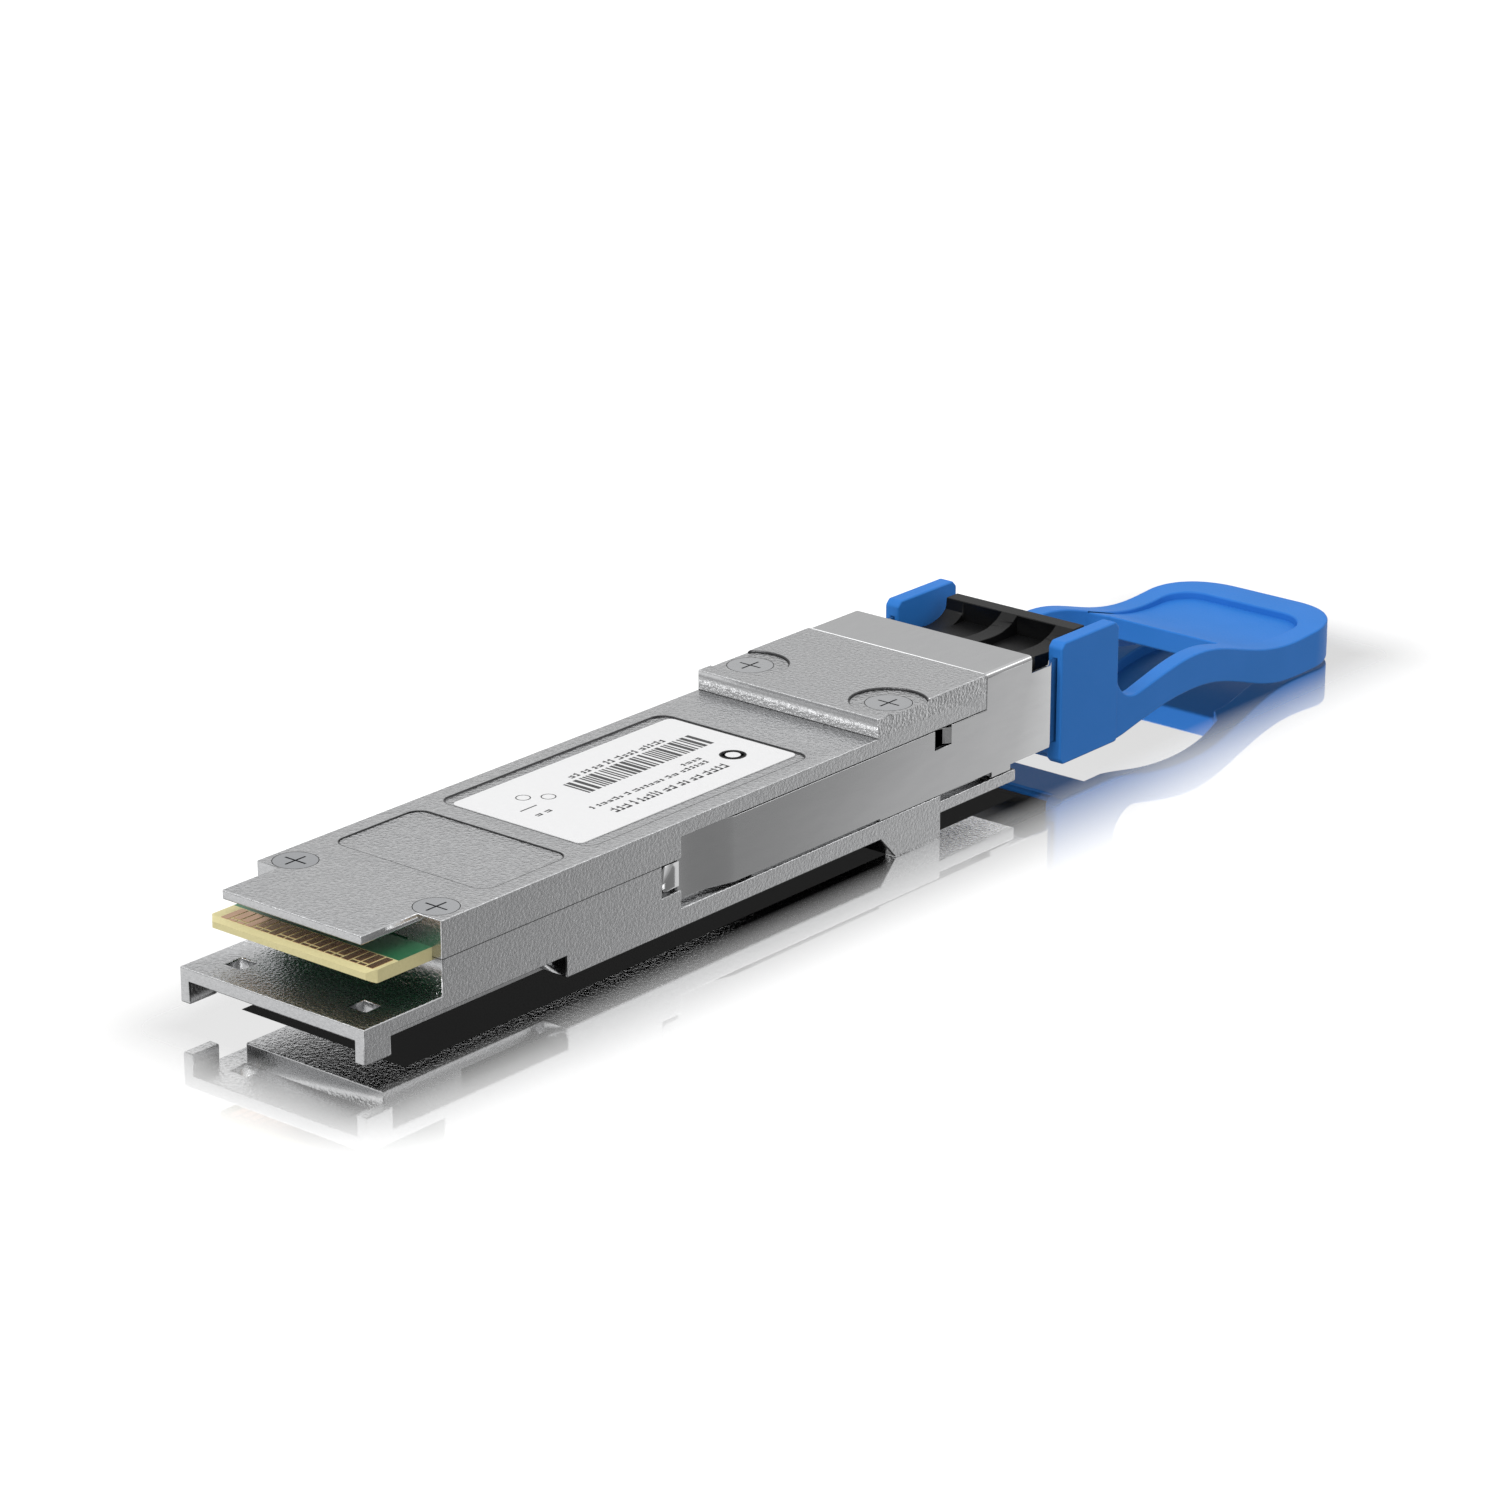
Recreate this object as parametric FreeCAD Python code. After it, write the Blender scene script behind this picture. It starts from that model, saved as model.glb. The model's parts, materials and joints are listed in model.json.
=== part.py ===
import FreeCAD, Part
import os

# Optical transceiver module with a slide-to-release latch.
# Units are millimetres. X runs across, +Z is up, and the module lies along Y with its
# card edge towards +Y and its optical ports and pull tab towards -Y.
# The origin is on the floor under the middle of the overall length.
# Lengths along the module are given as d, the distance ahead of the rear face of the
# body, so d grows towards the optical end and is negative on the card's side.

Vector = FreeCAD.Vector

# Overall sizes
CARD_SIDE_REACH = 8.0           # rear plate behind the body's rear face
TIP_D = 116.0                   # tip of the pull tab
REAR_FACE_Y = (TIP_D - CARD_SIDE_REACH) / 2.0
HALF_WIDTH = 9.175
UNDERSIDE_Z = 1.94
PARTING_Z = 7.47
COVER_TOP_Z = 10.43
BLOCK_TOP_Z = 12.07
RUNNING_GAP = 0.05
TOUCH = 1e-6                    # two places closer than this are the same place

# Body, from the rear face to the nose
BLOCK_D = (49.15, 63.0)         # raised block of the cover
NOSE_END_D = 69.05
NOSE_HALF_WIDTH = 8.80
NOSE_TOP_Z = 11.72
NOSE_EDGE_CHAMFER = 0.3         # clears the inside of the strap's bends
NOSE_SIDE_FLOOR_Z = 3.60
FRONT_FOOT_D = (51.45, 57.2)    # deep foot under the housing, standing on the floor
FRONT_FOOT_RAMP_D = 49.6
LIP_END_D = 66.97
LIP_Z = (2.0, 3.0)
LIP_GAP_HALF_WIDTH = 8.3

# Rear plate, tongue and the steps under the edges
REAR_PLATE_Z = (3.62, 4.68)
REAR_KEEL_HALF_WIDTH = 6.89
REAR_KEEL_D = -3.94
REAR_FOOT_X = (8.2, 9.175)
REAR_FOOT_D = (-8.0, -5.28)
SIDE_STEP_END_D = 13.02
PLATE_HOLE = 1.65
PLATE_HOLE_X = 5.28
PLATE_HOLE_D = -5.60
TONGUE_HALF_WIDTH = 6.9
TONGUE_D = -5.72
TONGUE_Z = 9.72

# Hollow inside the body
WALL_REAR_D = 4.2
CAVITY_HALF_WIDTH = 7.0
LEDGE_HALF_WIDTH = 7.6          # above the ledges that carry the board
CAVITY_FLOOR_Z = 2.94
CAVITY_ROOF_Z = 9.43
CAVITY_A_END_D = 49.0
CAVITY_B_HALF_WIDTH = 5.6       # between the front screw bosses
CAVITY_B_END_D = 57.5
CAVITY_C_HALF_WIDTH = 6.45      # around the barrel clamp
CAVITY_C_END_D = 62.0
SOCKET_HALF_WIDTH = 6.62        # holds the rear of the receptacle
SOCKET_FLOOR_Z = 3.0
SOCKET_ROOF_Z = 10.95

# Board
BOARD_Z = (7.21, 8.21)
BOARD_TAIL_HALF_WIDTH = 8.21
BOARD_TAIL_D = -6.1
BOARD_NECK_HALF_WIDTH = 5.7
BOARD_HALF_WIDTH = 7.55
BOARD_END_D = 44.0
BOARD_CORNER = 0.6
BOARD_EDGE_BEVEL = (0.5, 0.25)  # run along the board and drop
PAD_COUNT = 19
PAD_PITCH = 0.8
PAD_WIDTH = 0.64
PAD_THICK = 0.035
PAD_D = (-5.6, -3.5)            # the pads stop at the top of the edge bevel
SIGNAL_SPLIT_D = (-5.3, -5.12)
GROUND_PADS = (0, 3, 6, 9, 12, 15, 18)
PAD_ROW_X = -0.3                # the row sits a little to one side of the card's middle

# Slots in both sides of the body for the release slider
DEEP_SLOT_D = (25.85, 34.4)
DEEP_SLOT_X = 8.05
LATCH_POCKET_D = 23.64
LATCH_POCKET_Z = (4.95, PARTING_Z)
SLOT_Z = (3.5, 9.1)
SPRING_POCKET_D = (56.3, 65.0)
SPRING_POCKET_X = 7.0
SPRING_POCKET_Z = (7.5, 8.95)

# Release slider, one piece of folded sheet
SHEET = 0.3
SLIDER_X = 9.15
ARM_Z = (3.75, SLOT_Z[1] - RUNNING_GAP)
PLATE_BOTTOM_Z = SLOT_Z[0] + RUNNING_GAP
ARM_END_D = 26.2
JOGGLE_D = (29.3, 32.0)
ARM_PLATE_D = 49.5              # the narrow arm widens into the side plate here
JOGGLE_STEP = 0.73
TIP_Z = (5.3, 7.35)
TIP_REAR_D = 23.7
TIP_BEND_D = 25.6               # the tip bends inwards here to meet the inset arm
TIP_X = 9.10
TIP_CORNER = 0.4
STRAP_D = (63.03, 68.95)
STRAP_BEND = 0.4
PLATE_END_D = 71.45
PLATE_NOTCH_Z = 10.6
TAIL_X = 8.55
TAIL_D = (72.35, 78.0)
TAIL_Z = (3.55, 10.6)
WINDOW_D = (56.4, 58.5)
WINDOW_Z = 7.45
LANCE_Z = (7.56, 8.89)
LANCE_X = 8.72                  # outer face of the pressed-in part
LANCE_CURL_D = 57.5             # the curl from the window's front edge ends here
LANCE_LEG_D = (56.6, 56.9)      # leg turned in behind the spring
LANCE_LEG_X = 7.1
LIP_TAB_D = (63.8, 66.3)
LIP_TAB_Z = (3.1, 3.4)
LIP_TAB_X = 8.35

# Return springs
SPRING_RADIUS = 0.5
SPRING_WIRE = 0.2
SPRING_X = 7.55
SPRING_Z = 8.2
SPRING_D = (LANCE_LEG_D[1], SPRING_POCKET_D[1])

# Recesses and label on the cover
RECESS_HALF_WIDTH = 7.6
SMALL_RECESS_D = (6.15, 15.3)
LABEL_RECESS_D = (17.4, 42.9)
SMALL_RECESS_DEPTH = 0.08
LABEL_RECESS_DEPTH = 0.12
RECESS_CORNER = 1.2
LABEL_HALF_WIDTH = 6.5
LABEL_D = (17.65, 42.65)
LABEL_THICK = 0.08
LABEL_CORNER = 0.55

# Screws
REAR_SCREW = (7.0, 1.8)
REAR_SCREW_RADIUS = 1.68
FRONT_SCREW = (7.04, 53.1)
FRONT_SCREW_RADIUS = 1.85
FRONT_SCREW_POCKET_RADIUS = 3.1
FRONT_SCREW_POCKET_DEPTH = 0.19
HEAD_THICK = 0.6
SHANK_RADIUS = 0.8
SHANK_END_Z = 5.0
SCREW_GAP = 0.02
HEAD_GAP = 0.06
CROSS_LENGTH = 2.1
CROSS_WIDTH = 0.18
CROSS_DEPTH = 0.35

# Duplex receptacle
PORT_X = 3.125
PORT_Z = 6.2
PORT_HALF = 2.31
RECEPTACLE_HALF_WIDTH = 6.58
RECEPTACLE_BOTTOM_Z = 3.0
RECEPTACLE_TOP_Z = 11.42
RECEPTACLE_END_D = 79.49
RECEPTACLE_REAR_TOP_Z = 10.9
FLANGE_D = (NOSE_END_D, 70.35)
FLANGE_HALF_WIDTH = 8.4
FLANGE_TOP_Z = 11.5
PORT_BACK_D = 69.0
LATCH_WINDOW_X = (0.80, 4.76)
LATCH_WINDOW_D = (71.6, 78.0)
LATCH_WINDOW_FLOOR_Z = 9.75
LATCH_HOLE_END_D = 74.5         # behind here the window is open down to the port
LATCH_CHANNEL_HALF = 1.45       # the plug's latch slides in through this channel
LATCH_CHANNEL_TOP_Z = 9.3
OUTER_RIB = ((78.0, 11.42), (77.9, 10.45), (76.9, 9.85), (75.6, 9.65), (FLANGE_D[1], 9.65))
INNER_RIB = ((78.0, 11.42), (77.45, 10.95), (76.4, 10.55), (75.3, 10.4), (FLANGE_D[1], 10.35))

# Optical packages, barrels and sleeves
PACKAGE_X = (0.3, 5.5)
PACKAGE_D = (47.0, 57.0)
PACKAGE_Z = (3.6, 8.8)
BARREL_RADIUS = 1.5
BARREL_FLANGE_RADIUS = 2.3
BARREL_FLANGE_D = (61.0, 61.8)
BARREL_TUBE_RADIUS = 1.3
BARREL_END_D = 75.0
BARREL_BORE = 0.93
BARREL_BORE_D = 62.5
SLEEVE_RADII = (0.90, 0.65)
SLEEVE_END_D = 74.5
CLAMP_D = (60.1, 61.0)
FLEX_X = (0.7, 5.1)
FLEX_THICK = 0.12
FLEX_REAR_D = 41.6
FLEX_LOW_Z = 5.0
PACKAGE_LID = 0.4
PACKAGE_PAD_INSET = (0.5, 1.0)

# Parts on the board: across, ahead, width, length, height
RETIMER = (0.0, 18.0, 7.0, 7.0, 0.9)
LASER_DRIVER = (3.4, 35.5, 4.0, 4.0, 0.8)
AMPLIFIER = (-3.4, 35.5, 3.0, 3.0, 0.8)
MICROCONTROLLER = (0.0, 30.0, 4.0, 4.0, 0.75)
RETIMER_PAD_HALF = 3.0
PASSIVE_SIZES = ((0.8, 1.2), (0.5, 1.0))
PASSIVE_HEIGHT = 0.5
PASSIVE_COLUMNS = 9
PASSIVE_PITCH = 1.5
PASSIVE_ROWS_D = (7.6, 10.4, 25.0)

# Pull tab
EAR_X = (7.72, 9.12)
TAB_HALF_WIDTH = 9.0
EAR_REAR_D = 73.0
EAR_FRONT_D = 80.9
EAR_TOP_Z = 12.0
EAR_BOTTOM_Z = 1.5
EAR_CHAMFER = 0.45
EAR_ROUND = 0.5
CROSS_PLATE_D = (74.0, 78.3)
CROSS_PLATE_Z = 2.3
WINDOW_END_D = 100.0
WINDOW_SIDE = ((7.72, EAR_FRONT_D), (7.2, 96.0), (6.9, 98.6), (5.5, WINDOW_END_D))
PADDLE_CORNER = 5.6
RECESS_D = (98.6, 112.4)        # thumb recess, open towards the window
RECESS_HALF = 6.9
THUMB_CORNER = 2.8
THUMB_LINE = ((96.0, 5.45), (100.0, 4.4), (104.0, 3.3), (108.0, 2.85), (112.4, 2.98), (116.0, 3.05))
UNDER_RECESS_D = (98.6, 112.0)
UNDER_RECESS_HALF = 6.4
UNDER_RECESS_DEPTH = 1.0
UNDER_RECESS_CEILING = 2.7
EAR_LOW_D = 80.5                # the ear's underside meets the arm here
PADDLE_Z = (0.6, 3.6)
THROAT_LINE = ((EAR_FRONT_D, 7.75), (81.25, 6.2), (82.4, 5.15), (84.0, 4.9))
ARM_TOP_LINE = (
    (84.0, 4.9), (87.6, 5.6), (91.5, 6.1), (94.5, 5.95), (98.6, 4.95), (102.0, 4.0), (106.4, 3.38),
    (111.0, 3.55), (TIP_D, PADDLE_Z[1]),
)
ARM_UNDER_LINE = (
    (TIP_D, PADDLE_Z[0]), (112.5, 0.2), (108.6, 0.05), (104.5, 0.25), (99.5, 1.6), (95.0, 2.8), (90.0, 3.0),
    (85.5, 2.45), (82.3, 1.8), (EAR_LOW_D, EAR_BOTTOM_Z),
)


def at(x, d, z):
    """Point in the frame from across, ahead-of-rear-face and height values."""
    return Vector(x, REAR_FACE_Y - d, z)


def block(x0, x1, d0, d1, z0, z1):
    """Straight block."""
    return Part.makeBox(x1 - x0, d1 - d0, z1 - z0, at(x0, d1, z0))


def across(half_width, d0, d1, z0, z1):
    """Block centred on X = 0."""
    return block(-half_width, half_width, d0, d1, z0, z1)


def mirrored(shape):
    """The same piece on the other side of the module."""
    return shape.mirror(Vector(0, 0, 0), Vector(1, 0, 0))


def pair(shape):
    """A piece and its mirror image, as a list."""
    return [shape, mirrored(shape)]


def disc(x, d, z0, z1, radius):
    """Upright cylinder."""
    return Part.makeCylinder(radius, z1 - z0, at(x, d, z0))


def rod(x, z, d0, d1, radius):
    """Cylinder that lies along the module."""
    return Part.makeCylinder(radius, d1 - d0, at(x, d0, z), Vector(0, -1, 0))


def face_of(edges):
    """Flat face bounded by a closed run of edges."""
    return Part.Face(Part.Wire(Part.__sortEdges__(edges)))


def plan_prism(corners, z0, z1):
    """Upright prism on a plan outline of (x, d) corners."""
    points = [at(x, d, z0) for x, d in corners]
    outline = Part.makePolygon(points + points[:1])
    return Part.Face(outline).extrude(Vector(0, 0, z1 - z0))


def side_prism(corners, x0, x1):
    """Prism across the module on a side outline of (d, z) corners."""
    points = [at(x0, d, z) for d, z in corners]
    outline = Part.makePolygon(points + points[:1])
    return Part.Face(outline).extrude(Vector(x1 - x0, 0, 0))


def is_across(edge):
    """True for an edge that runs straight across the module."""
    if len(edge.Vertexes) != 2:
        return False
    run = edge.Vertexes[1].Point - edge.Vertexes[0].Point
    return abs(run.y) < TOUCH and abs(run.z) < TOUCH


def upright_edges(shape):
    """Edges that run straight up."""
    found = []
    for edge in shape.Edges:
        if len(edge.Vertexes) == 2:
            run = edge.Vertexes[1].Point - edge.Vertexes[0].Point
            if abs(run.x) < TOUCH and abs(run.y) < TOUCH:
                found.append(edge)
    return found


def smooth_edge(x, points):
    """Smooth curve through (d, z) points of a side outline."""
    curve = Part.BSplineCurve()
    curve.interpolate([at(x, d, z) for d, z in points])
    return curve.toShape()


def straight_edges(x, points):
    """Straight runs between (d, z) points of a side outline."""
    places = [at(x, d, z) for d, z in points]
    return [Part.makeLine(start, end) for start, end in zip(places, places[1:])]


def rounded_plate(half_width, d0, d1, z0, z1, corner):
    """Flat plate with rounded plan corners."""
    plate = across(half_width, d0, d1, z0, z1)
    return plate.makeFillet(corner, upright_edges(plate))


def bottom_housing():
    rear_z = REAR_PLATE_Z
    base = across(HALF_WIDTH, 0.0, FRONT_FOOT_D[1], UNDERSIDE_Z, PARTING_Z)
    foot_profile = [
        (FRONT_FOOT_RAMP_D, UNDERSIDE_Z),
        (FRONT_FOOT_D[0], 0.0),
        (FRONT_FOOT_D[1], 0.0),
        (FRONT_FOOT_D[1], UNDERSIDE_Z),
    ]
    solids = [
        side_prism(foot_profile, -HALF_WIDTH, HALF_WIDTH),
        across(HALF_WIDTH, -CARD_SIDE_REACH, 0.0, rear_z[0], rear_z[1]),
        across(REAR_KEEL_HALF_WIDTH, REAR_KEEL_D, 0.0, UNDERSIDE_Z, rear_z[0]),
        across(NOSE_HALF_WIDTH, FRONT_FOOT_D[1], NOSE_END_D, NOSE_SIDE_FLOOR_Z, PARTING_Z),
        across(LIP_GAP_HALF_WIDTH, FRONT_FOOT_D[1], LIP_END_D, LIP_Z[1], NOSE_SIDE_FLOOR_Z),
        across(HALF_WIDTH, FRONT_FOOT_D[1], LIP_END_D, LIP_Z[0], LIP_Z[1]),
    ]
    solids += pair(block(*REAR_FOOT_X, *REAR_FOOT_D, UNDERSIDE_Z, rear_z[0]))
    body = base.multiFuse(solids).removeSplitter()
    side_step = block(REAR_KEEL_HALF_WIDTH, HALF_WIDTH, 0.0, SIDE_STEP_END_D, UNDERSIDE_Z, rear_z[0])
    plate_hole = block(
        PLATE_HOLE_X, PLATE_HOLE_X + PLATE_HOLE,
        PLATE_HOLE_D, PLATE_HOLE_D + PLATE_HOLE, rear_z[0], rear_z[1],
    )
    tools = pair(side_step) + pair(plate_hole) + slider_slots(SLOT_Z[0], PARTING_Z)
    latch_pocket = block(
        DEEP_SLOT_X, HALF_WIDTH, LATCH_POCKET_D, DEEP_SLOT_D[0], LATCH_POCKET_Z[0], LATCH_POCKET_Z[1],
    )
    tools += pair(latch_pocket)
    tools += [
        across(CAVITY_HALF_WIDTH, WALL_REAR_D, CAVITY_A_END_D, CAVITY_FLOOR_Z, PARTING_Z),
        across(LEDGE_HALF_WIDTH, WALL_REAR_D, BOARD_END_D + RUNNING_GAP, BOARD_Z[0], PARTING_Z),
        across(CAVITY_B_HALF_WIDTH, CAVITY_A_END_D, CAVITY_B_END_D, CAVITY_FLOOR_Z, PARTING_Z),
        across(CAVITY_C_HALF_WIDTH, CAVITY_B_END_D, CAVITY_C_END_D, CAVITY_FLOOR_Z, PARTING_Z),
        across(SOCKET_HALF_WIDTH, CAVITY_C_END_D, NOSE_END_D, SOCKET_FLOOR_Z, PARTING_Z),
        across(BOARD_NECK_HALF_WIDTH + RUNNING_GAP, 0.0, WALL_REAR_D, BOARD_Z[0], PARTING_Z),
    ]
    hole_end = SHANK_END_Z - SCREW_GAP
    for x, d in (REAR_SCREW, FRONT_SCREW):
        tools += pair(disc(x, d, hole_end, PARTING_Z, SHANK_RADIUS + SCREW_GAP))
    return body.cut(tools)


def slider_slots(z0, z1):
    """Room in both sides of the body for the slider's arms and plates."""
    deep = block(DEEP_SLOT_X, HALF_WIDTH, *DEEP_SLOT_D, z0, z1)
    shallow = block(NOSE_HALF_WIDTH, HALF_WIDTH, DEEP_SLOT_D[1], BLOCK_D[1], z0, z1)
    return pair(deep) + pair(shallow)


def top_cover():
    main = across(HALF_WIDTH, 0.0, BLOCK_D[1], PARTING_Z, COVER_TOP_Z)
    nose = across(NOSE_HALF_WIDTH, BLOCK_D[1], NOSE_END_D, PARTING_Z, NOSE_TOP_Z)
    chamfer_low = NOSE_TOP_Z - NOSE_EDGE_CHAMFER
    chamfer_in = NOSE_HALF_WIDTH - NOSE_EDGE_CHAMFER
    edge = Part.makePolygon([
        at(chamfer_in, BLOCK_D[1], NOSE_TOP_Z), at(NOSE_HALF_WIDTH, BLOCK_D[1], chamfer_low),
        at(NOSE_HALF_WIDTH, BLOCK_D[1], NOSE_TOP_Z), at(chamfer_in, BLOCK_D[1], NOSE_TOP_Z),
    ])
    wedge = Part.Face(edge).extrude(Vector(0, BLOCK_D[1] - NOSE_END_D, 0))
    nose = nose.cut(pair(wedge))
    solids = [
        across(TONGUE_HALF_WIDTH, TONGUE_D, 0.0, TONGUE_Z, COVER_TOP_Z),
        across(HALF_WIDTH, *BLOCK_D, COVER_TOP_Z, BLOCK_TOP_Z),
        nose,
    ]
    body = main.multiFuse(solids).removeSplitter()
    small_recess = rounded_plate(
        RECESS_HALF_WIDTH, *SMALL_RECESS_D, COVER_TOP_Z - SMALL_RECESS_DEPTH, COVER_TOP_Z, RECESS_CORNER,
    )
    label_recess = rounded_plate(
        RECESS_HALF_WIDTH, *LABEL_RECESS_D, COVER_TOP_Z - LABEL_RECESS_DEPTH, COVER_TOP_Z, RECESS_CORNER,
    )
    tools = [small_recess, label_recess] + slider_slots(PARTING_Z, SLOT_Z[1])
    spring_pocket = block(SPRING_POCKET_X, HALF_WIDTH, *SPRING_POCKET_D, *SPRING_POCKET_Z)
    tools += pair(spring_pocket)
    tools += [
        across(LEDGE_HALF_WIDTH, WALL_REAR_D, BOARD_END_D + RUNNING_GAP, PARTING_Z, BOARD_Z[1]),
        across(CAVITY_HALF_WIDTH, WALL_REAR_D, CAVITY_A_END_D, PARTING_Z, CAVITY_ROOF_Z),
        across(CAVITY_B_HALF_WIDTH, CAVITY_A_END_D, CAVITY_B_END_D, PARTING_Z, CAVITY_ROOF_Z),
        across(CAVITY_C_HALF_WIDTH, CAVITY_B_END_D, CAVITY_C_END_D, PARTING_Z, CAVITY_ROOF_Z),
        across(SOCKET_HALF_WIDTH, CAVITY_C_END_D, NOSE_END_D, PARTING_Z, SOCKET_ROOF_Z),
        across(BOARD_NECK_HALF_WIDTH + RUNNING_GAP, 0.0, WALL_REAR_D, PARTING_Z, BOARD_Z[1]),
    ]
    seats = (
        (REAR_SCREW, REAR_SCREW_RADIUS, COVER_TOP_Z),
        (FRONT_SCREW, FRONT_SCREW_RADIUS, BLOCK_TOP_Z - FRONT_SCREW_POCKET_DEPTH),
    )
    for (x, d), radius, head_top in seats:
        head_bottom = head_top - HEAD_THICK
        tools += pair(disc(x, d, head_bottom, head_top, radius + HEAD_GAP))
        tools += pair(disc(x, d, PARTING_Z, head_bottom, SHANK_RADIUS + SCREW_GAP))
    pocket_floor = BLOCK_TOP_Z - FRONT_SCREW_POCKET_DEPTH
    tools += pair(disc(*FRONT_SCREW, pocket_floor, BLOCK_TOP_Z, FRONT_SCREW_POCKET_RADIUS))
    return body.cut(tools)


def screws(place, radius, head_top):
    """Two cross-recessed screws, one on each side."""
    x, d = place
    head = disc(x, d, head_top - HEAD_THICK, head_top, radius)
    shank = disc(x, d, SHANK_END_Z, head_top - HEAD_THICK, SHANK_RADIUS)
    half_long = CROSS_LENGTH / 2.0
    half_wide = CROSS_WIDTH / 2.0
    cross_z = (head_top - CROSS_DEPTH, head_top)
    along = block(x - half_wide, x + half_wide, d - half_long, d + half_long, *cross_z)
    sideways = block(x - half_long, x + half_long, d - half_wide, d + half_wide, *cross_z)
    screw = head.fuse(shank).cut([along, sideways])
    return Part.makeCompound(pair(screw))


def slider_side():
    """One arm, side plate and tail of the release slider."""
    inner = SLIDER_X - SHEET
    inset = SLIDER_X - JOGGLE_STEP
    slant = SHEET / 6.0
    plan = [
        (inset, ARM_END_D), (inset, JOGGLE_D[0]), (SLIDER_X, JOGGLE_D[1]), (SLIDER_X, PLATE_END_D),
        (TAIL_X, TAIL_D[0]), (TAIL_X, TAIL_D[1]), (TAIL_X - SHEET, TAIL_D[1]),
        (TAIL_X - SHEET, TAIL_D[0] - slant), (inner, PLATE_END_D - slant),
        (inner, JOGGLE_D[1] + slant), (inset - SHEET, JOGGLE_D[0] + slant), (inset - SHEET, ARM_END_D),
    ]
    blank = plan_prism(plan, PLATE_BOTTOM_Z, PLATE_NOTCH_Z)
    far = SLIDER_X + SHEET
    near = DEEP_SLOT_X
    trims = [
        block(near, far, ARM_END_D, ARM_PLATE_D, PLATE_BOTTOM_Z, ARM_Z[0]),
        block(near, far, ARM_END_D, STRAP_D[0], ARM_Z[1], PLATE_NOTCH_Z),
        block(inner, SLIDER_X, *WINDOW_D, WINDOW_Z, ARM_Z[1]),
    ]
    sheet = blank.cut(trims)
    tip_plan = [
        (TIP_X, TIP_REAR_D), (TIP_X, TIP_BEND_D), (inset, ARM_END_D),
        (inset - SHEET, ARM_END_D), (TIP_X - SHEET, TIP_BEND_D - slant), (TIP_X - SHEET, TIP_REAR_D),
    ]
    tip = plan_prism(tip_plan, *TIP_Z)
    tip_end = at(0, TIP_REAR_D, 0).y
    end_edges = [e for e in tip.Edges if is_across(e) and abs(e.Vertexes[0].Y - tip_end) < TOUCH]
    tip = tip.makeFillet(TIP_CORNER, end_edges)
    upper_plate = block(inner, SLIDER_X, *STRAP_D, PLATE_NOTCH_Z, BLOCK_TOP_Z - STRAP_BEND)
    window_d = WINDOW_D[1]
    curl_mid = (window_d + LANCE_CURL_D) / 2.0
    lance_plan = [
        (SLIDER_X, window_d), (SLIDER_X - slant, curl_mid + SHEET), (LANCE_X + SHEET / 2.0, curl_mid),
        (LANCE_X, LANCE_CURL_D), (LANCE_X, LANCE_LEG_D[0]), (LANCE_LEG_X, LANCE_LEG_D[0]),
        (LANCE_LEG_X, LANCE_LEG_D[1]), (LANCE_X - SHEET, LANCE_LEG_D[1]), (LANCE_X - SHEET, LANCE_CURL_D),
        (inner - SHEET / 2.0, curl_mid + slant), (inner, window_d),
    ]
    lance = plan_prism(lance_plan, *LANCE_Z)
    drop = block(inner, SLIDER_X, *LIP_TAB_D, LIP_TAB_Z[0], PLATE_BOTTOM_Z)
    lip_tab = block(LIP_TAB_X, inner, *LIP_TAB_D, *LIP_TAB_Z)
    return sheet.multiFuse([tip, upper_plate, lance, drop, lip_tab])


def strap_bend():
    """Quarter-round fold between the strap and a side plate."""
    centre_x = SLIDER_X - STRAP_BEND
    centre_z = BLOCK_TOP_Z - STRAP_BEND
    outer = rod(centre_x, centre_z, *STRAP_D, STRAP_BEND)
    hollow = rod(centre_x, centre_z, *STRAP_D, STRAP_BEND - SHEET)
    quarter = block(centre_x, SLIDER_X, *STRAP_D, centre_z, BLOCK_TOP_Z)
    return outer.cut(hollow).common(quarter)


def delatch_slider():
    strap = across(SLIDER_X - STRAP_BEND, *STRAP_D, BLOCK_TOP_Z - SHEET, BLOCK_TOP_Z)
    pieces = pair(slider_side()) + pair(strap_bend())
    return strap.multiFuse(pieces).removeSplitter()


def return_spring():
    """Sleeve with the coil's outer size, wire thickness and length."""
    outer = rod(SPRING_X, SPRING_Z, *SPRING_D, SPRING_RADIUS)
    return outer.cut(rod(SPRING_X, SPRING_Z, *SPRING_D, SPRING_RADIUS - SPRING_WIRE))


def circuit_board():
    tail = BOARD_TAIL_HALF_WIDTH
    neck = BOARD_NECK_HALF_WIDTH
    half = BOARD_HALF_WIDTH
    right = [
        (tail - BOARD_CORNER, BOARD_TAIL_D), (tail, BOARD_TAIL_D + BOARD_CORNER), (tail, 0.0),
        (neck, 0.0), (neck, WALL_REAR_D), (half, WALL_REAR_D), (half, BOARD_END_D),
    ]
    left = [(-x, d) for x, d in reversed(right)]
    board = plan_prism(right + left, *BOARD_Z)
    bevel_run, bevel_drop = BOARD_EDGE_BEVEL
    edge_d = BOARD_TAIL_D + bevel_run
    for z, inward in ((BOARD_Z[0], 1.0), (BOARD_Z[1], -1.0)):
        wedge = [(BOARD_TAIL_D, z), (edge_d, z), (BOARD_TAIL_D, z + inward * bevel_drop)]
        board = board.cut(side_prism(wedge, -tail, tail))
    return board


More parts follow.
